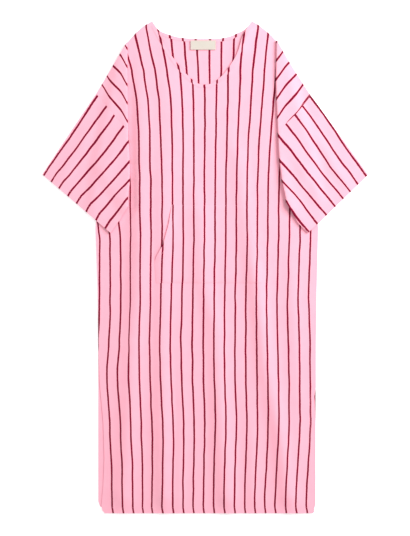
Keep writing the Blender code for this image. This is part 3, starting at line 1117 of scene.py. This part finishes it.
@dataclass
class Sleeve(ClothPiece):
    """A tube of cloth pressed flat, from one pattern for front and back.

    Args:
        side: the side of the garment that it is on.
    """

    side: ShoulderFold = field(kw_only=True)

    def stripe_count(self, spot: Vector) -> float:
        """Counts the stripes at a pattern point.

        Args:
            spot: the pattern point.

        Returns:
            The stripe count, whole on a stripe.
        """
        on_top = self.side.top_of(spot)
        fan = STRIPES.left_sleeve if self.side is LEFT else STRIPES.right_sleeve
        return fan.count(self.side, on_top) + STRIPES.waver(on_top * 1.4, 2.5 + self.side.sign)

    def skin_at(self, spot: Vector, under: bool = False) -> Vector:
        """Finds a place on the sleeve's upper skin, or under its back layer.

        Args:
            spot: the pattern point.
            under: whether it is under the back layer.

        Returns:
            The place, as the sleeve lies.
        """
        if under:
            return laid(spot, -0.5 - SKIN, True)
        return super().skin_at(spot)

    def shape(self, sheet: bmesh.types.BMesh) -> None:
        """Adds the back layer and joins it to the front round the top and underarm folds.

        Args:
            sheet: the sleeve's mesh, which has its front layer.
        """
        copy = bmesh.ops.duplicate(sheet, geom=[*sheet.verts, *sheet.edges, *sheet.faces])["geom"]
        under = [part for part in copy if isinstance(part, bmesh.types.BMVert)]
        turned = [part for part in copy if isinstance(part, bmesh.types.BMFace)]
        bmesh.ops.translate(sheet, verts=under, vec=UP * -LAYER)
        bmesh.ops.reverse_faces(sheet, faces=turned)
        for start, end in ((self.outline[0], self.outline[-1]), (self.outline[-3], self.outline[-2])):
            across = right_of((end - start).normalized())
            fold = []
            for edge in sheet.edges:
                off = max(abs((vert.co.to_2d() - start).dot(across)) for vert in edge.verts)
                if edge.is_boundary and off < ON_LINE:
                    fold.append(edge)
            bmesh.ops.bridge_loops(sheet, edges=fold)


@dataclass(frozen=True)
class PanelCut:
    """The edges of a body panel, in millimetres.

    Args:
        neck: the neck edge, from left to right.
        banded: the first point that its band follows on the smooth neck line, and where it stops.
        left_lower: the lower left side, downwards.
        hem: the hem, from left to right.
        right_lower: the lower right side, upwards.
        left_shoulder: the left shoulder's edge, up to the neck.
        right_shoulder: the right shoulder's edge, down from the neck.
    """

    neck: tuple[Point, ...]
    banded: tuple[int, int]
    left_lower: tuple[Point, ...]
    hem: tuple[Point, ...]
    right_lower: tuple[Point, ...]
    left_shoulder: tuple[Point, ...] = ((-172, 586), (-151, 604))
    right_shoulder: tuple[Point, ...] = ((134, 605), (158, 586))

    def outline(self, inset: float) -> list[Vector]:
        """The panel's pattern, from the left neck point round to the left shoulder.

        Args:
            inset: gap to the armhole seam, in metres.

        Returns:
            The outline's points, in metres.
        """
        line = [*smooth_line(self.neck), *map(metres, self.right_shoulder)]
        line += [RIGHT.origin, RIGHT.spread(RIGHT.origin), *RIGHT.armhole(-inset)]
        line += map(metres, RIGHT.body_edge)
        for edge in (self.right_lower, self.hem, self.left_lower):
            line += map(metres, reversed(edge))
        line += [*map(metres, reversed(LEFT.body_edge)), *reversed(LEFT.armhole(-inset))]
        return [*line, LEFT.spread(LEFT.origin), LEFT.origin, *map(metres, self.left_shoulder)]

    def banded_neck(self) -> list[Vector]:
        """The stretch of the smooth neck line that its band follows, in metres."""
        first, last = self.banded
        return smooth_line(self.neck)[first:last]

    def band(self) -> list[Vector]:
        """The outline of the stitched band inside the neck edge, in metres."""
        line = self.banded_neck()
        return [*line, *reversed(moved_aside(line, BAND_WIDTH))]


NECK_LEFT, NECK_RIGHT = (-132, 614.5), (118, 614.5)
FRONT = PanelCut(
    neck=(
        NECK_LEFT, (-112, 578), (-85, 531), (-46, 482), (-17, 459),
        (0, 456.5), (17, 460), (46, 482), (79, 531), (96, 583), NECK_RIGHT,
    ),
    banded=(1, -1),
    left_lower=((-266, -205), (-263.5, -285), (-254, -390), (-251.5, -480), (-254.5, -550), (-259, -594)),
    hem=((-256.5, -607.5), (-250.5, -614.5), (269.5, -614.5), (272.5, -611.5)),
    right_lower=((273, -590), (272, -330), (277, -300)),
)
BACK = PanelCut(
    neck=(
        NECK_LEFT, (-117, 594), (-98, 584), (-68, 575), (-30, 571),
        (0, 570.5), (30, 571), (60, 576), (81, 585), (101, 595), NECK_RIGHT,
    ),
    banded=(7, -8),
    left_lower=((-266.5, -205), (-266.5, -585), (-262, -598)),
    hem=((-240, -602), (262, -609), (272, -607)),
    right_lower=((276, -592), (276.5, -300)),
)
POCKET = (
    (-83, 156), (-90, 110), (-104, 58), (-122, 25), (-126, 13), (-122, -39),
    (142, -39), (146, 13), (142, 25), (124, 58), (110, 110), (103, 156),
)
LABEL_LEFT, LABEL_RIGHT, LABEL_LOW, LABEL_HIGH = -36, 27, 543.5, 566.5


def thinned(off_edge: float, thin: float, width: float) -> float:
    """Share of a wall's thickness that is left at a distance from its stitched edge."""
    return thin + (1 - thin) * smooth_step(off_edge, STITCHED_FROM, width)


@dataclass
class Band(ClothPiece):
    """A narrow turned band round the neck, thinner at its stitched edge.

    Args:
        kink: stripes by which its cloth lies aside of the panel's, left and right.
        kink_from: x where the cloth passes from the one to the other.
        kink_length: length over which it does.
        thin: share of its wall that is left at the stitched edge.
        thin_width: distance from there to its whole wall.
    """

    kink: tuple[float, float] = (0.0, 0.0)
    kink_from: float = -30 * MM
    kink_length: float = 60 * MM
    thin: float = 0.15
    thin_width: float = 7 * MM

    def stripe_count(self, spot: Vector) -> float:
        """Counts the stripes at a pattern point.

        Args:
            spot: the pattern point.

        Returns:
            The panel's stripe count, moved by the band's own kink.
        """
        left, right = self.kink
        aside = (right - left) * smooth_step(spot.x, self.kink_from, self.kink_length)
        return body_count(spot, self.back) + left + aside

    def fullness(self, spot: Vector) -> float:
        """Share of the wall's thickness at a pattern point."""
        stitched = self.outline[len(self.outline) // 2 :]
        return thinned(off_line(stitched, spot), self.thin, self.thin_width)


@dataclass
class Pocket(ClothPiece):
    """The pouch pocket: stitched round its top, bottom and lower sides, open along both slanted sides.

    Args:
        gapes: how far the left and right openings stand off the front.
        gape_width: how far the gape reaches into the pocket.
        gape_low: length over which it opens from its lower end.
        gape_high: length over which it opens from its upper end.
        moved: stripes by which the left side lies to the right.
        moved_width: how far that reaches.
        moved_low: share of it that is left at the bottom.
        moved_from: y from which it grows to the whole.
        moved_rise: length over which it does.
        thin: share of its wall that is left at the stitched edges.
        thin_width: distance from there to its whole wall.
    """

    gapes: tuple[float, float] = (2.4 * MM, 0.9 * MM)
    gape_width: float = 13 * MM
    gape_low: float = 20 * MM
    gape_high: float = 45 * MM
    moved: float = 0.12
    moved_width: float = 50 * MM
    moved_low: float = 0.4
    moved_from: float = -20 * MM
    moved_rise: float = 70 * MM
    thin: float = 0.35
    thin_width: float = 6 * MM

    def openings(self) -> tuple[list[Vector], list[Vector]]:
        """The slanted open sides, left and right."""
        return self.outline[0:5], self.outline[7:12]

    def stitched(self) -> list[Vector]:
        """The stitched edge below the openings."""
        return self.outline[4:8]

    def top(self) -> list[Vector]:
        """The stitched edge between their upper ends."""
        return [self.outline[-1], self.outline[0]]

    def stripe_count(self, spot: Vector) -> float:
        """Counts the stripes at a pattern point, where the pocket's left side lies to the right.

        Args:
            spot: the pattern point.

        Returns:
            The front's stripe count, moved by what the pocket lies aside.
        """
        risen = smooth_step(spot.y, self.moved_from, self.moved_rise)
        share = self.moved_low + (1 - self.moved_low) * risen
        reach = bell(spot.x - self.outline[5].x, self.moved_width)
        return body_count(spot, self.back) - self.moved * share * reach

    def lift(self, spot: Vector) -> float:
        """Measures how far the open sides stand off the front.

        Args:
            spot: the pattern point.

        Returns:
            The height there.
        """
        total = 0.0
        for line, gape in zip(self.openings(), self.gapes):
            low, high = sorted((line[0].y, line[-1].y))
            window = smooth_step(spot.y, low, self.gape_low) * smooth_step(-spot.y, -high, self.gape_high)
            total += gape * window * bell(off_line(line, spot), self.gape_width)
        return total

    def fullness(self, spot: Vector) -> float:
        """Share of the wall's thickness at a pattern point."""
        off_edge = min(off_line(line, spot) for line in (self.stitched(), self.top()))
        return thinned(off_edge, self.thin, self.thin_width)


@dataclass
class Sewing:
    """Rows of stitches in one mesh.

    Args:
        name: the mesh's name.
        rows: for each row its piece, its pattern line and whether it lies on the under skin.
        slot: not used.
        sides: corners of a stitch seen from above.
        rings: steps from its top to its underside.
    """

    name: str
    rows: list[tuple[ClothPiece, list[Vector], bool]]
    slot: str = "cotton"
    sides: int = 6
    rings: int = 4

    def build(self) -> bpy.types.Object:
        """Lays every stitch.

        Returns:
            The finished object.
        """
        form, ball = bmesh.new(), bmesh.new()
        bmesh.ops.create_uvsphere(ball, u_segments=self.sides, v_segments=self.rings, radius=1)
        corners = [vert.co for vert in ball.verts]
        faces = [[vert.index for vert in face.verts] for face in ball.faces]
        share = STITCH_LENGTH / STITCH_PITCH
        for piece, line, under in self.rows:
            sunk = UP * (THREAD_SUNK if under else 0)
            spots = [piece.skin_at(spot, under) + sunk for spot in even_line(line, STITCH_PITCH)]
            for start, end in zip(spots, spots[1:]):
                run = (end - start) * share
                turn = run.to_track_quat("X", "Z").to_matrix().to_4x4()
                size = Matrix.Diagonal((run.length / 2, THREAD_WIDTH / 2, THREAD_HEIGHT / 2, 1))
                place = Matrix.Translation(start + run / 2) @ turn @ size
                verts = [form.verts.new(place @ corner) for corner in corners]
                for face in faces:
                    form.faces.new([verts[index] for index in face])
        ball.free()
        return finish_mesh(self.name, form)

    def dress(self, material: bpy.types.Material) -> bpy.types.Object:
        """Args:
            material: the finish of their thread.

        Returns:
            The finished object.
        """
        stitches = self.build()
        stitches.data.materials.append(material)
        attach(stitches, "root")
        LOG.info("%s: %d faces", self.name, len(stitches.data.polygons))
        return stitches


def socket(group: bpy.types.NodeTree, name: str, way: str, kind: str, value: float | None = None) -> None:
    """Adds a socket to a shader node group.

    Args:
        group: the node group.
        name: the socket's name.
        way: INPUT or OUTPUT.
        kind: the socket's type, such as NodeSocketFloat.
        value: its value where nothing is linked.
    """
    made = group.interface.new_socket(name, in_out=way, socket_type=kind)
    if value is not None:
        made.default_value = value


class Wiring:
    """Adds and links the nodes of one node tree."""

    def __init__(self, tree: bpy.types.NodeTree) -> None:
        """Keeps the tree."""
        self.tree = tree

    def add(self, kind: str, **settings: object) -> bpy.types.Node:
        """Adds a node.

        Args:
            kind: the node's type.
            settings: its properties by name.

        Returns:
            The node.
        """
        node = self.tree.nodes.new(kind)
        for name, value in settings.items():
            setattr(node, name, value)
        return node

    def feed(self, node: bpy.types.Node, **sockets: object) -> bpy.types.Node:
        """Links or sets inputs of a node.

        Args:
            node: the node.
            sockets: sockets or values, by the input's name with underscores or by i and its number.

        Returns:
            The node.
        """
        for name, value in sockets.items():
            numbered = name[0] == "i" and name[1:].isdigit()
            target = node.inputs[int(name[1:]) if numbered else name.replace("_", " ")]
            if isinstance(value, Socket):
                self.tree.links.new(value, target)
            else:
                target.default_value = value
        return node

    def maths(self, operation: str, first: object, second: object = 0.0) -> Socket:
        """A Math node's result."""
        node = self.add("ShaderNodeMath", operation=operation)
        return self.feed(node, i0=first, i1=second).outputs[0]

    def spread(self, value: Socket, low: float, high: float, start: float, end: float) -> Socket:
        """A value carried smoothly from one range to another."""
        node = self.add("ShaderNodeMapRange", interpolation_type="SMOOTHSTEP")
        self.feed(node, Value=value, From_Min=low, From_Max=high, To_Min=start, To_Max=end)
        return node.outputs[0]

    def noise(self, vector: Socket, scale: float, detail: float = 2, rough: float = 0.5) -> Socket:
        """A noise texture's value."""
        node = self.add("ShaderNodeTexNoise")
        return self.feed(node, Vector=vector, Scale=scale, Detail=detail, Roughness=rough).outputs[0]

    def stretched(self, vector: Socket, scale: Triple) -> Socket:
        """A vector scaled along its axes."""
        return self.feed(self.add("ShaderNodeMapping"), Vector=vector, Scale=scale).outputs[0]

    def bumped(self, height: Socket, strength: float) -> Socket:
        """A normal that follows the weave's height."""
        node = self.add("ShaderNodeBump")
        return self.feed(node, Strength=strength, Distance=BUMP_DISTANCE, Height=height).outputs[0]

    def grouped(self, group: bpy.types.NodeTree, **sockets: object) -> bpy.types.Node:
        """A node group on the stripe map."""
        stripe_map = self.add("ShaderNodeUVMap", uv_map="Stripes").outputs[0]
        return self.feed(self.add("ShaderNodeGroup", node_tree=group), Map=stripe_map, **sockets)


def stripe_group() -> bpy.types.NodeTree:
    """Makes the woven stripes' mask from the stripe map.

    Returns:
        A node group whose mask is 1 on a stripe and 0 beside it.
    """
    group = bpy.data.node_groups.new("Woven stripes", "ShaderNodeTree")
    socket(group, "Map", "INPUT", "NodeSocketVector")
    socket(group, "Half width", "INPUT", "NodeSocketFloat", 0.08)
    socket(group, "Waver", "INPUT", "NodeSocketFloat", 0.02)
    socket(group, "Mask", "OUTPUT", "NodeSocketFloat")
    wiring = Wiring(group)
    inputs = wiring.add("NodeGroupInput").outputs
    slow = wiring.noise(wiring.stretched(inputs["Map"], scale=(0.9, 0.5, 1)), scale=1.7)
    quick = wiring.noise(wiring.stretched(inputs["Map"], scale=(2.0, 8.0, 1)), scale=3.1)
    waver = wiring.maths("MULTIPLY", wiring.maths("SUBTRACT", slow, 0.5), inputs["Waver"])
    across = wiring.add("ShaderNodeSeparateXYZ")
    wiring.feed(across, Vector=inputs["Map"])
    moved = wiring.maths("ADD", wiring.maths("ADD", across.outputs[0], waver), 0.5)
    off = wiring.maths("ABSOLUTE", wiring.maths("SUBTRACT", wiring.maths("FRACT", moved), 0.5))
    uneven = wiring.spread(quick, low=0.2, high=0.8, start=0.82, end=1.18)
    width = wiring.maths("MULTIPLY", inputs["Half width"], uneven)
    inside = wiring.maths("DIVIDE", off, width)
    mask = wiring.spread(inside, low=0.8, high=1.2, start=1.0, end=0.0)
    wiring.feed(wiring.add("NodeGroupOutput"), Mask=mask)
    return group


def weave_group() -> bpy.types.NodeTree:
    """Makes a plain cotton weave.

    Returns:
        A node group that gives the weave's height and a mottling of its colour.
    """
    group = bpy.data.node_groups.new("Cotton weave", "ShaderNodeTree")
    socket(group, "Map", "INPUT", "NodeSocketVector")
    socket(group, "Threads", "INPUT", "NodeSocketFloat", 30)
    socket(group, "Height", "OUTPUT", "NodeSocketFloat")
    socket(group, "Mottle", "OUTPUT", "NodeSocketFloat")
    wiring = Wiring(group)
    inputs = wiring.add("NodeGroupInput").outputs
    scaled = wiring.add("ShaderNodeVectorMath", operation="SCALE")
    wiring.feed(scaled, Vector=inputs["Map"], Scale=inputs["Threads"])
    parts = wiring.feed(wiring.add("ShaderNodeSeparateXYZ"), Vector=scaled.outputs[0])
    warp = wiring.maths("SINE", wiring.maths("MULTIPLY", parts.outputs[0], math.tau))
    weft = wiring.maths("SINE", wiring.maths("MULTIPLY", parts.outputs[1], math.tau))
    slub_along, slub_across = (
        wiring.noise(wiring.stretched(inputs["Map"], scale=stretch), scale=1.0, detail=3, rough=0.6)
        for stretch in ((14.0, 0.9, 1), (1.1, 12.0, 1))
    )
    threads = wiring.maths("MULTIPLY", warp, weft)
    slubs = wiring.maths("ADD", slub_along, slub_across)
    height = wiring.maths("ADD", wiring.maths("MULTIPLY", threads, 0.25), slubs)
    cloud = wiring.noise(inputs["Map"], scale=0.8, detail=3, rough=0.55)
    mottle = wiring.maths("ADD", wiring.maths("MULTIPLY", cloud, 0.6), wiring.maths("MULTIPLY", slubs, 0.2))
    wiring.feed(wiring.add("NodeGroupOutput"), Height=height, Mottle=mottle)
    return group


@dataclass(frozen=True)
class CottonFinish:
    """Pink cotton with woven dark red stripes, and painted shade on the ridge turns.

    Args:
        name: the material's name.
        light: the palest pink.
        deep: the deepest pink.
        stripe: the stripes' darkest red.
        stripe_worn: their red where it is worn.
        painted_shade: the dark grey mixed into the ridges as painted shade, standing in for the shadow in
            the fold.
        half_width: half of a stripe's width, in stripe spacings.
        waver: how far a stripe strays, in stripe spacings.
        threads: threads to a stripe spacing.
        roughness: how matt it is.
        relief: strength of the weave's bump.
        specular: how much it reflects.
        sheen: strength of its fuzz.
        sheen_roughness: how soft that is.
    """

    name: str = "Striped cotton"
    light: Colour = (0.97, 0.472, 0.573)
    deep: Colour = (0.95, 0.402, 0.508)
    stripe: Colour = (0.152, 0.0013, 0.016)
    stripe_worn: Colour = (0.24, 0.005, 0.034)
    painted_shade: Colour = (0.06, 0.035, 0.04)
    half_width: float = 0.085
    waver: float = 0.05
    threads: float = 34
    roughness: float = 0.86
    relief: float = 0.35
    specular: float = 0.06
    sheen: float = 0.02
    sheen_roughness: float = 0.6

    def make(self, stripes: bpy.types.NodeTree, weave: bpy.types.NodeTree) -> bpy.types.Material:
        """Builds the material.

        Args:
            stripes: the stripe node group.
            weave: the weave node group.

        Returns:
            The material.
        """
        material, wiring, shader = new_material(self.name, self.roughness)
        band = wiring.grouped(stripes, Half_width=self.half_width, Waver=self.waver)
        cloth = wiring.grouped(weave, Threads=self.threads)
        ground = mixed(wiring, cloth.outputs["Mottle"], self.light, self.deep)
        dyed = mixed(wiring, cloth.outputs["Mottle"], self.stripe, self.stripe_worn)
        woven = mixed(wiring, band.outputs["Mask"], ground, dyed)
        # Painted shade: the ridge turn's faces are mixed towards dark grey, standing in for the shadow in
        # the fold.
        painted_shade = wiring.add("ShaderNodeAttribute", attribute_name="Rubbed grey").outputs["Fac"]
        colour = mixed(wiring, painted_shade, woven, self.painted_shade)
        normal = wiring.bumped(cloth.outputs["Height"], self.relief)
        wiring.feed(shader, Base_Color=colour, Normal=normal, Specular_IOR_Level=self.specular)
        wiring.feed(shader, Sheen_Weight=self.sheen, Sheen_Roughness=self.sheen_roughness)
        return material


@dataclass(frozen=True)
class LabelFinish:
    """Cream woven tape.

    Args:
        name: the material's name.
        light: its palest colour.
        deep: its deepest colour.
        threads: threads to a stripe spacing of the dress.
        roughness: how matt it is.
        relief: strength of the weave's bump.
    """

    name: str = "Woven label"
    light: Colour = (0.62, 0.57, 0.50)
    deep: Colour = (0.53, 0.48, 0.42)
    threads: float = 50
    roughness: float = 0.6
    relief: float = 0.4

    def make(self, weave: bpy.types.NodeTree) -> bpy.types.Material:
        """Builds the material.

        Args:
            weave: the weave node group.

        Returns:
            The material.
        """
        material, wiring, shader = new_material(self.name, self.roughness)
        cloth = wiring.grouped(weave, Threads=self.threads)
        normal = wiring.bumped(cloth.outputs["Height"], self.relief)
        colour = mixed(wiring, cloth.outputs["Mottle"], self.light, self.deep)
        wiring.feed(shader, Base_Color=colour, Normal=normal)
        return material


@dataclass(frozen=True)
class ThreadFinish:
    """Sewing thread with a soft shine.

    Args:
        name: the material's name.
        light: its palest colour.
        deep: its deepest colour.
        patches: patches of its colour, to a metre.
        roughness: how matt it is.
    """

    name: str = "Pink thread"
    light: Colour = (0.95, 0.45, 0.55)
    deep: Colour = (0.90, 0.37, 0.47)
    patches: float = 900
    roughness: float = 0.55

    def make(self) -> bpy.types.Material:
        """Builds the material.

        Returns:
            The material.
        """
        material, wiring, shader = new_material(self.name, self.roughness)
        place = wiring.add("ShaderNodeTexCoord").outputs["Object"]
        twist = wiring.noise(place, scale=self.patches, detail=1)
        wiring.feed(shader, Base_Color=mixed(wiring, twist, self.light, self.deep))
        return material


def new_material(name: str, roughness: float) -> tuple[bpy.types.Material, Wiring, bpy.types.Node]:
    """Starts a material.

    Args:
        name: its name.
        roughness: how matt it is.

    Returns:
        The material, its wiring and its shader node.
    """
    material = bpy.data.materials.new(name)
    material.use_nodes = True
    shader = material.node_tree.nodes["Principled BSDF"]
    shader.inputs["Roughness"].default_value = roughness
    return material, Wiring(material.node_tree), shader


def mixed(wiring: Wiring, factor: Socket, first: Socket | Colour, second: Socket | Colour) -> Socket:
    """Mixes two colours.

    Args:
        wiring: the material's wiring.
        factor: the second colour's share.
        first: a socket or a colour.
        second: another.

    Returns:
        The mixed colour.
    """
    node = wiring.add("ShaderNodeMix", data_type="RGBA")
    colours = [(*value, 1.0) if isinstance(value, tuple) else value for value in (first, second)]
    return wiring.feed(node, i0=factor, i6=colours[0], i7=colours[1]).outputs[2]


@dataclass(frozen=True)
class Studio:
    """Pale floor, soft light and a camera straight above, as in the photograph.

    Args:
        view_height: the view's height on the floor, in metres.
        view_middle: the middle of the view.
        focal: the camera's focal length, in millimetres.
        sensor: its sensor's width.
        lamps: for each lamp its name, place, size and power.
        surround: brightness of the even surround.
        floor_size: half of the floor's width.
        floor_pale: the floor's palest colour.
        floor_deep: its deepest colour.
        floor_patches: how small the patches of its colour are.
        floor_roughness: how matt it is.
        table_glow: how much it glows.
    """

    view_height: float = 1.340
    view_middle: Point = (0.0, -0.001875)
    focal: float = 100.0
    sensor: float = 36.0
    lamps: tuple[tuple[str, Triple, float, float], ...] = (
        ("key", (1.95, 1.4, 1.6), 1.5, 98),
        ("fill", (-1.5, 0.3, 2.4), 2.4, 10.6),
    )
    surround: float = 0.64
    floor_size: float = 6
    floor_pale: Colour = (0.95, 0.95, 0.95)
    floor_deep: Colour = (0.93, 0.93, 0.93)
    floor_patches: float = 3
    floor_roughness: float = 0.9
    table_glow: float = 0.3

    def floor(self) -> None:
        """Lays a wide pale floor with a faint unevenness in its colour."""
        form = bmesh.new()
        bmesh.ops.create_grid(form, x_segments=1, y_segments=1, size=self.floor_size)
        bmesh.ops.translate(form, verts=form.verts, vec=UP * -FLOOR_DROP)
        mesh = bpy.data.meshes.new("floor")
        form.to_mesh(mesh)
        form.free()
        floor = placed("floor", mesh)
        material, wiring, shader = new_material("Pale floor", self.floor_roughness)
        place = wiring.add("ShaderNodeTexCoord").outputs["Object"]
        patches = wiring.noise(place, scale=self.floor_patches)
        wiring.feed(shader, Base_Color=mixed(wiring, patches, self.floor_pale, self.floor_deep))
        wiring.feed(shader, Emission_Color=WHITE, Emission_Strength=self.table_glow)
        mesh.materials.append(material)

    def camera(self) -> None:
        """Hangs the camera straight above the dress."""
        data = bpy.data.cameras.new("camera")
        data.lens, data.sensor_width = self.focal, self.sensor
        data.dof.use_dof = False
        camera = placed("camera", data)
        camera.location = (*self.view_middle, self.view_height * self.focal / self.sensor)
        bpy.context.scene.camera = camera

    def light(self) -> None:
        """Sets a large soft key at the upper right, a weaker fill and an even surround."""
        for name, place, size, power in self.lamps:
            data = bpy.data.lights.new(name, "AREA")
            data.size, data.energy = size, power
            lamp = placed(name, data)
            lamp.location = place
            lamp.rotation_euler = (-Vector(place)).to_track_quat("-Z", "Y").to_euler()
        world = bpy.data.worlds.new("surround")
        world.use_nodes = True
        backdrop = world.node_tree.nodes["Background"]
        backdrop.inputs["Color"].default_value = WHITE
        backdrop.inputs["Strength"].default_value = self.surround
        bpy.context.scene.world = world
        bpy.context.scene.view_settings.view_transform = "Standard"


@dataclass
class Garment:
    """The whole dress: its cloth pieces, label and sewing.

    Args:
        cotton: the finish of the dress.
        label: the finish of the label.
        thread: the finish of the stitches.
        seam_gap: gap between a sleeve and its panels.
        corner_open: length of seam left open at each armpit.
        hem_turn: distance of the hem's and cuffs' stitches from the edge.
        slit_turn: that of the slits' and pocket openings' stitches.
        edge_stitch: that of the pocket's and label's stitches.
        top_stitch: distance of the armhole stitches from the seam.
    """

    cotton: bpy.types.Material
    label: bpy.types.Material
    thread: bpy.types.Material
    seam_gap: float = 0.1 * MM
    corner_open: float = 10 * MM
    hem_turn: float = 14 * MM
    slit_turn: float = 9 * MM
    edge_stitch: float = 1.8 * MM
    top_stitch: float = 2.6 * MM

    def panels(self) -> list[ClothPiece]:
        """Plans the front, back, pocket and neck bands.

        Returns:
            The pieces, the lowest first.
        """
        gap = self.seam_gap / 2
        return [
            ClothPiece(
                name="dress_back", node="back_panel", outline=BACK.outline(gap), layers_up=-0.5,
                flat=(0.650, 1.224), area=0.653, rests_on=["floor"], back=True, step=8 * MM,
            ),
            ClothPiece(
                name="dress_front", node="front_panel", outline=FRONT.outline(gap), layers_up=0.5,
                flat=(0.650, 1.229), area=0.637, rests_on=["dress_back"],
            ),
            Pocket(
                name="dress_pocket", node="pouch_pocket", outline=list(map(metres, POCKET)), layers_up=1.23,
                flat=(0.272, 0.195), area=0.0453, rests_on=["dress_front"], step=5 * MM, wall=0.8 * MM,
            ),
            Band(
                name="front_band", node="neck_band_front", outline=FRONT.band(), layers_up=1.04,
                flat=(0.010, 0.394), area=0.0032, rests_on=["dress_front"], wall=0.4 * MM,
                kink=(0.07, -0.05),
            ),
            Band(
                name="back_band", node="neck_band_back", outline=BACK.band(), layers_up=0.04,
                flat=(0.010, 0.191), area=0.0015, rests_on=["dress_back"], wall=0.4 * MM,
                kink=(0.10, -0.12), back=True,
            ),
        ]

    def sleeves(self) -> list[Sleeve]:
        """Plans both sleeves.

        Returns:
            The left sleeve and the right one.
        """
        made = []
        for side in (LEFT, RIGHT):
            seam = side.armhole(self.seam_gap / 2)
            cuff_low, cuff_high = (side.spread(metres(end)) for end in (side.cuff_bottom, side.cuff_top))
            underarm = seam[-1] + (cuff_low - seam[-1]).normalized() * self.corner_open
            seam[-1] += (seam[0] - seam[-1]).normalized() * self.corner_open
            sleeve = Sleeve(
                name=f"dress_sleeve_{side.name}", node=f"sleeve_{side.name}",
                outline=[*seam, underarm, cuff_low, cuff_high], layers_up=0.5,
                flat=(0.48, 0.24), area=0.103, rests_on=["dress_back", "floor"], side=side,
            )
            made.append(sleeve)
        return made

    def neck_label(self) -> ClothPiece:
        """Plans the bare woven label inside the back neck.

        Returns:
            The label.
        """
        corners = (
            (LABEL_LEFT, LABEL_LOW), (LABEL_RIGHT, LABEL_LOW),
            (LABEL_RIGHT, LABEL_HIGH), (LABEL_LEFT, LABEL_HIGH),
        )
        return ClothPiece(
            name="dress_label", node="neck_label", outline=list(map(metres, corners)), layers_up=1.5,
            flat=(LABEL_RIGHT * MM - LABEL_LEFT * MM, LABEL_HIGH * MM - LABEL_LOW * MM),
            area=0.00145, rests_on=["back_band"], back=True, step=4 * MM, slot="label",
        )

    def sewing(self, pieces: dict[str, ClothPiece]) -> list[Sewing]:
        """The rows of stitches, by what they sew.

        Args:
            pieces: the cloth pieces by name.

        Returns:
            The sewing of the neck, edges, pocket, sleeves and label.
        """
        front, back, pocket = pieces["dress_front"], pieces["dress_back"], pieces["dress_pocket"]
        label = pieces["dress_label"]
        neck = []
        for name, cut in (("front_band", FRONT), ("back_band", BACK)):
            neck.append((pieces[name], moved_aside(cut.banded_neck(), BAND_STITCH), False))
        edges, arms = [], []
        for piece, cut, under in ((front, FRONT, False), (back, BACK, True), (back, BACK, False)):
            edges.append((piece, moved_aside(list(map(metres, cut.hem[-3:])), -self.hem_turn)[0:2], under))
            sides = ((cut.left_lower, -self.slit_turn), (cut.right_lower[::-1], self.slit_turn))
            for lower, aside in sides:
                edges.append((piece, moved_aside(list(map(metres, lower)), aside), under))
        for side in (LEFT, RIGHT):
            sleeve = pieces[f"dress_sleeve_{side.name}"]
            cuff = [side.spread(metres(side.cuff_top)), side.spread(metres(side.cuff_bottom))]
            cuff = moved_aside(cuff, self.hem_turn * side.sign)
            arms += [(sleeve, cuff, False), (sleeve, cuff, True)]
            armhole = side.armhole(-self.top_stitch)
            arms += [(front, armhole, False), (back, armhole, True)]
        round_pocket = []
        for line in (pocket.stitched(), pocket.top()):
            round_pocket.append((pocket, moved_aside(line, -self.edge_stitch), False))
        for line in pocket.openings():
            round_pocket.append((pocket, moved_aside(line, -self.slit_turn), False))
        ends = moved_aside([*label.outline, label.outline[0]], -self.edge_stitch)
        return [
            Sewing("stitches_neck", neck),
            Sewing("stitches_edges", edges),
            Sewing("stitches_sleeves", arms),
            Sewing("stitches_pocket", round_pocket),
            Sewing("stitches_label", [(label, ends, False)]),
        ]

    def build(self) -> None:
        """Builds and dresses every piece and its sewing."""
        label = self.neck_label()
        pieces = [*self.panels(), *self.sleeves()]
        for piece in pieces:
            piece.dress(self.cotton)
        label.dress(self.label)
        for sewing in self.sewing({piece.name: piece for piece in [*pieces, label]}):
            sewing.dress(self.thread)


def main() -> None:
    """Loads the frame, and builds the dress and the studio."""
    logging.basicConfig(level=logging.INFO, format="%(name)s: %(message)s")
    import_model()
    studio = Studio()
    studio.camera()
    studio.floor()
    studio.light()
    stripes, weave = stripe_group(), weave_group()
    garment = Garment(
        cotton=CottonFinish().make(stripes, weave),
        label=LabelFinish().make(weave),
        thread=ThreadFinish().make(),
    )
    garment.build()


if __name__ == "__main__":
    main()
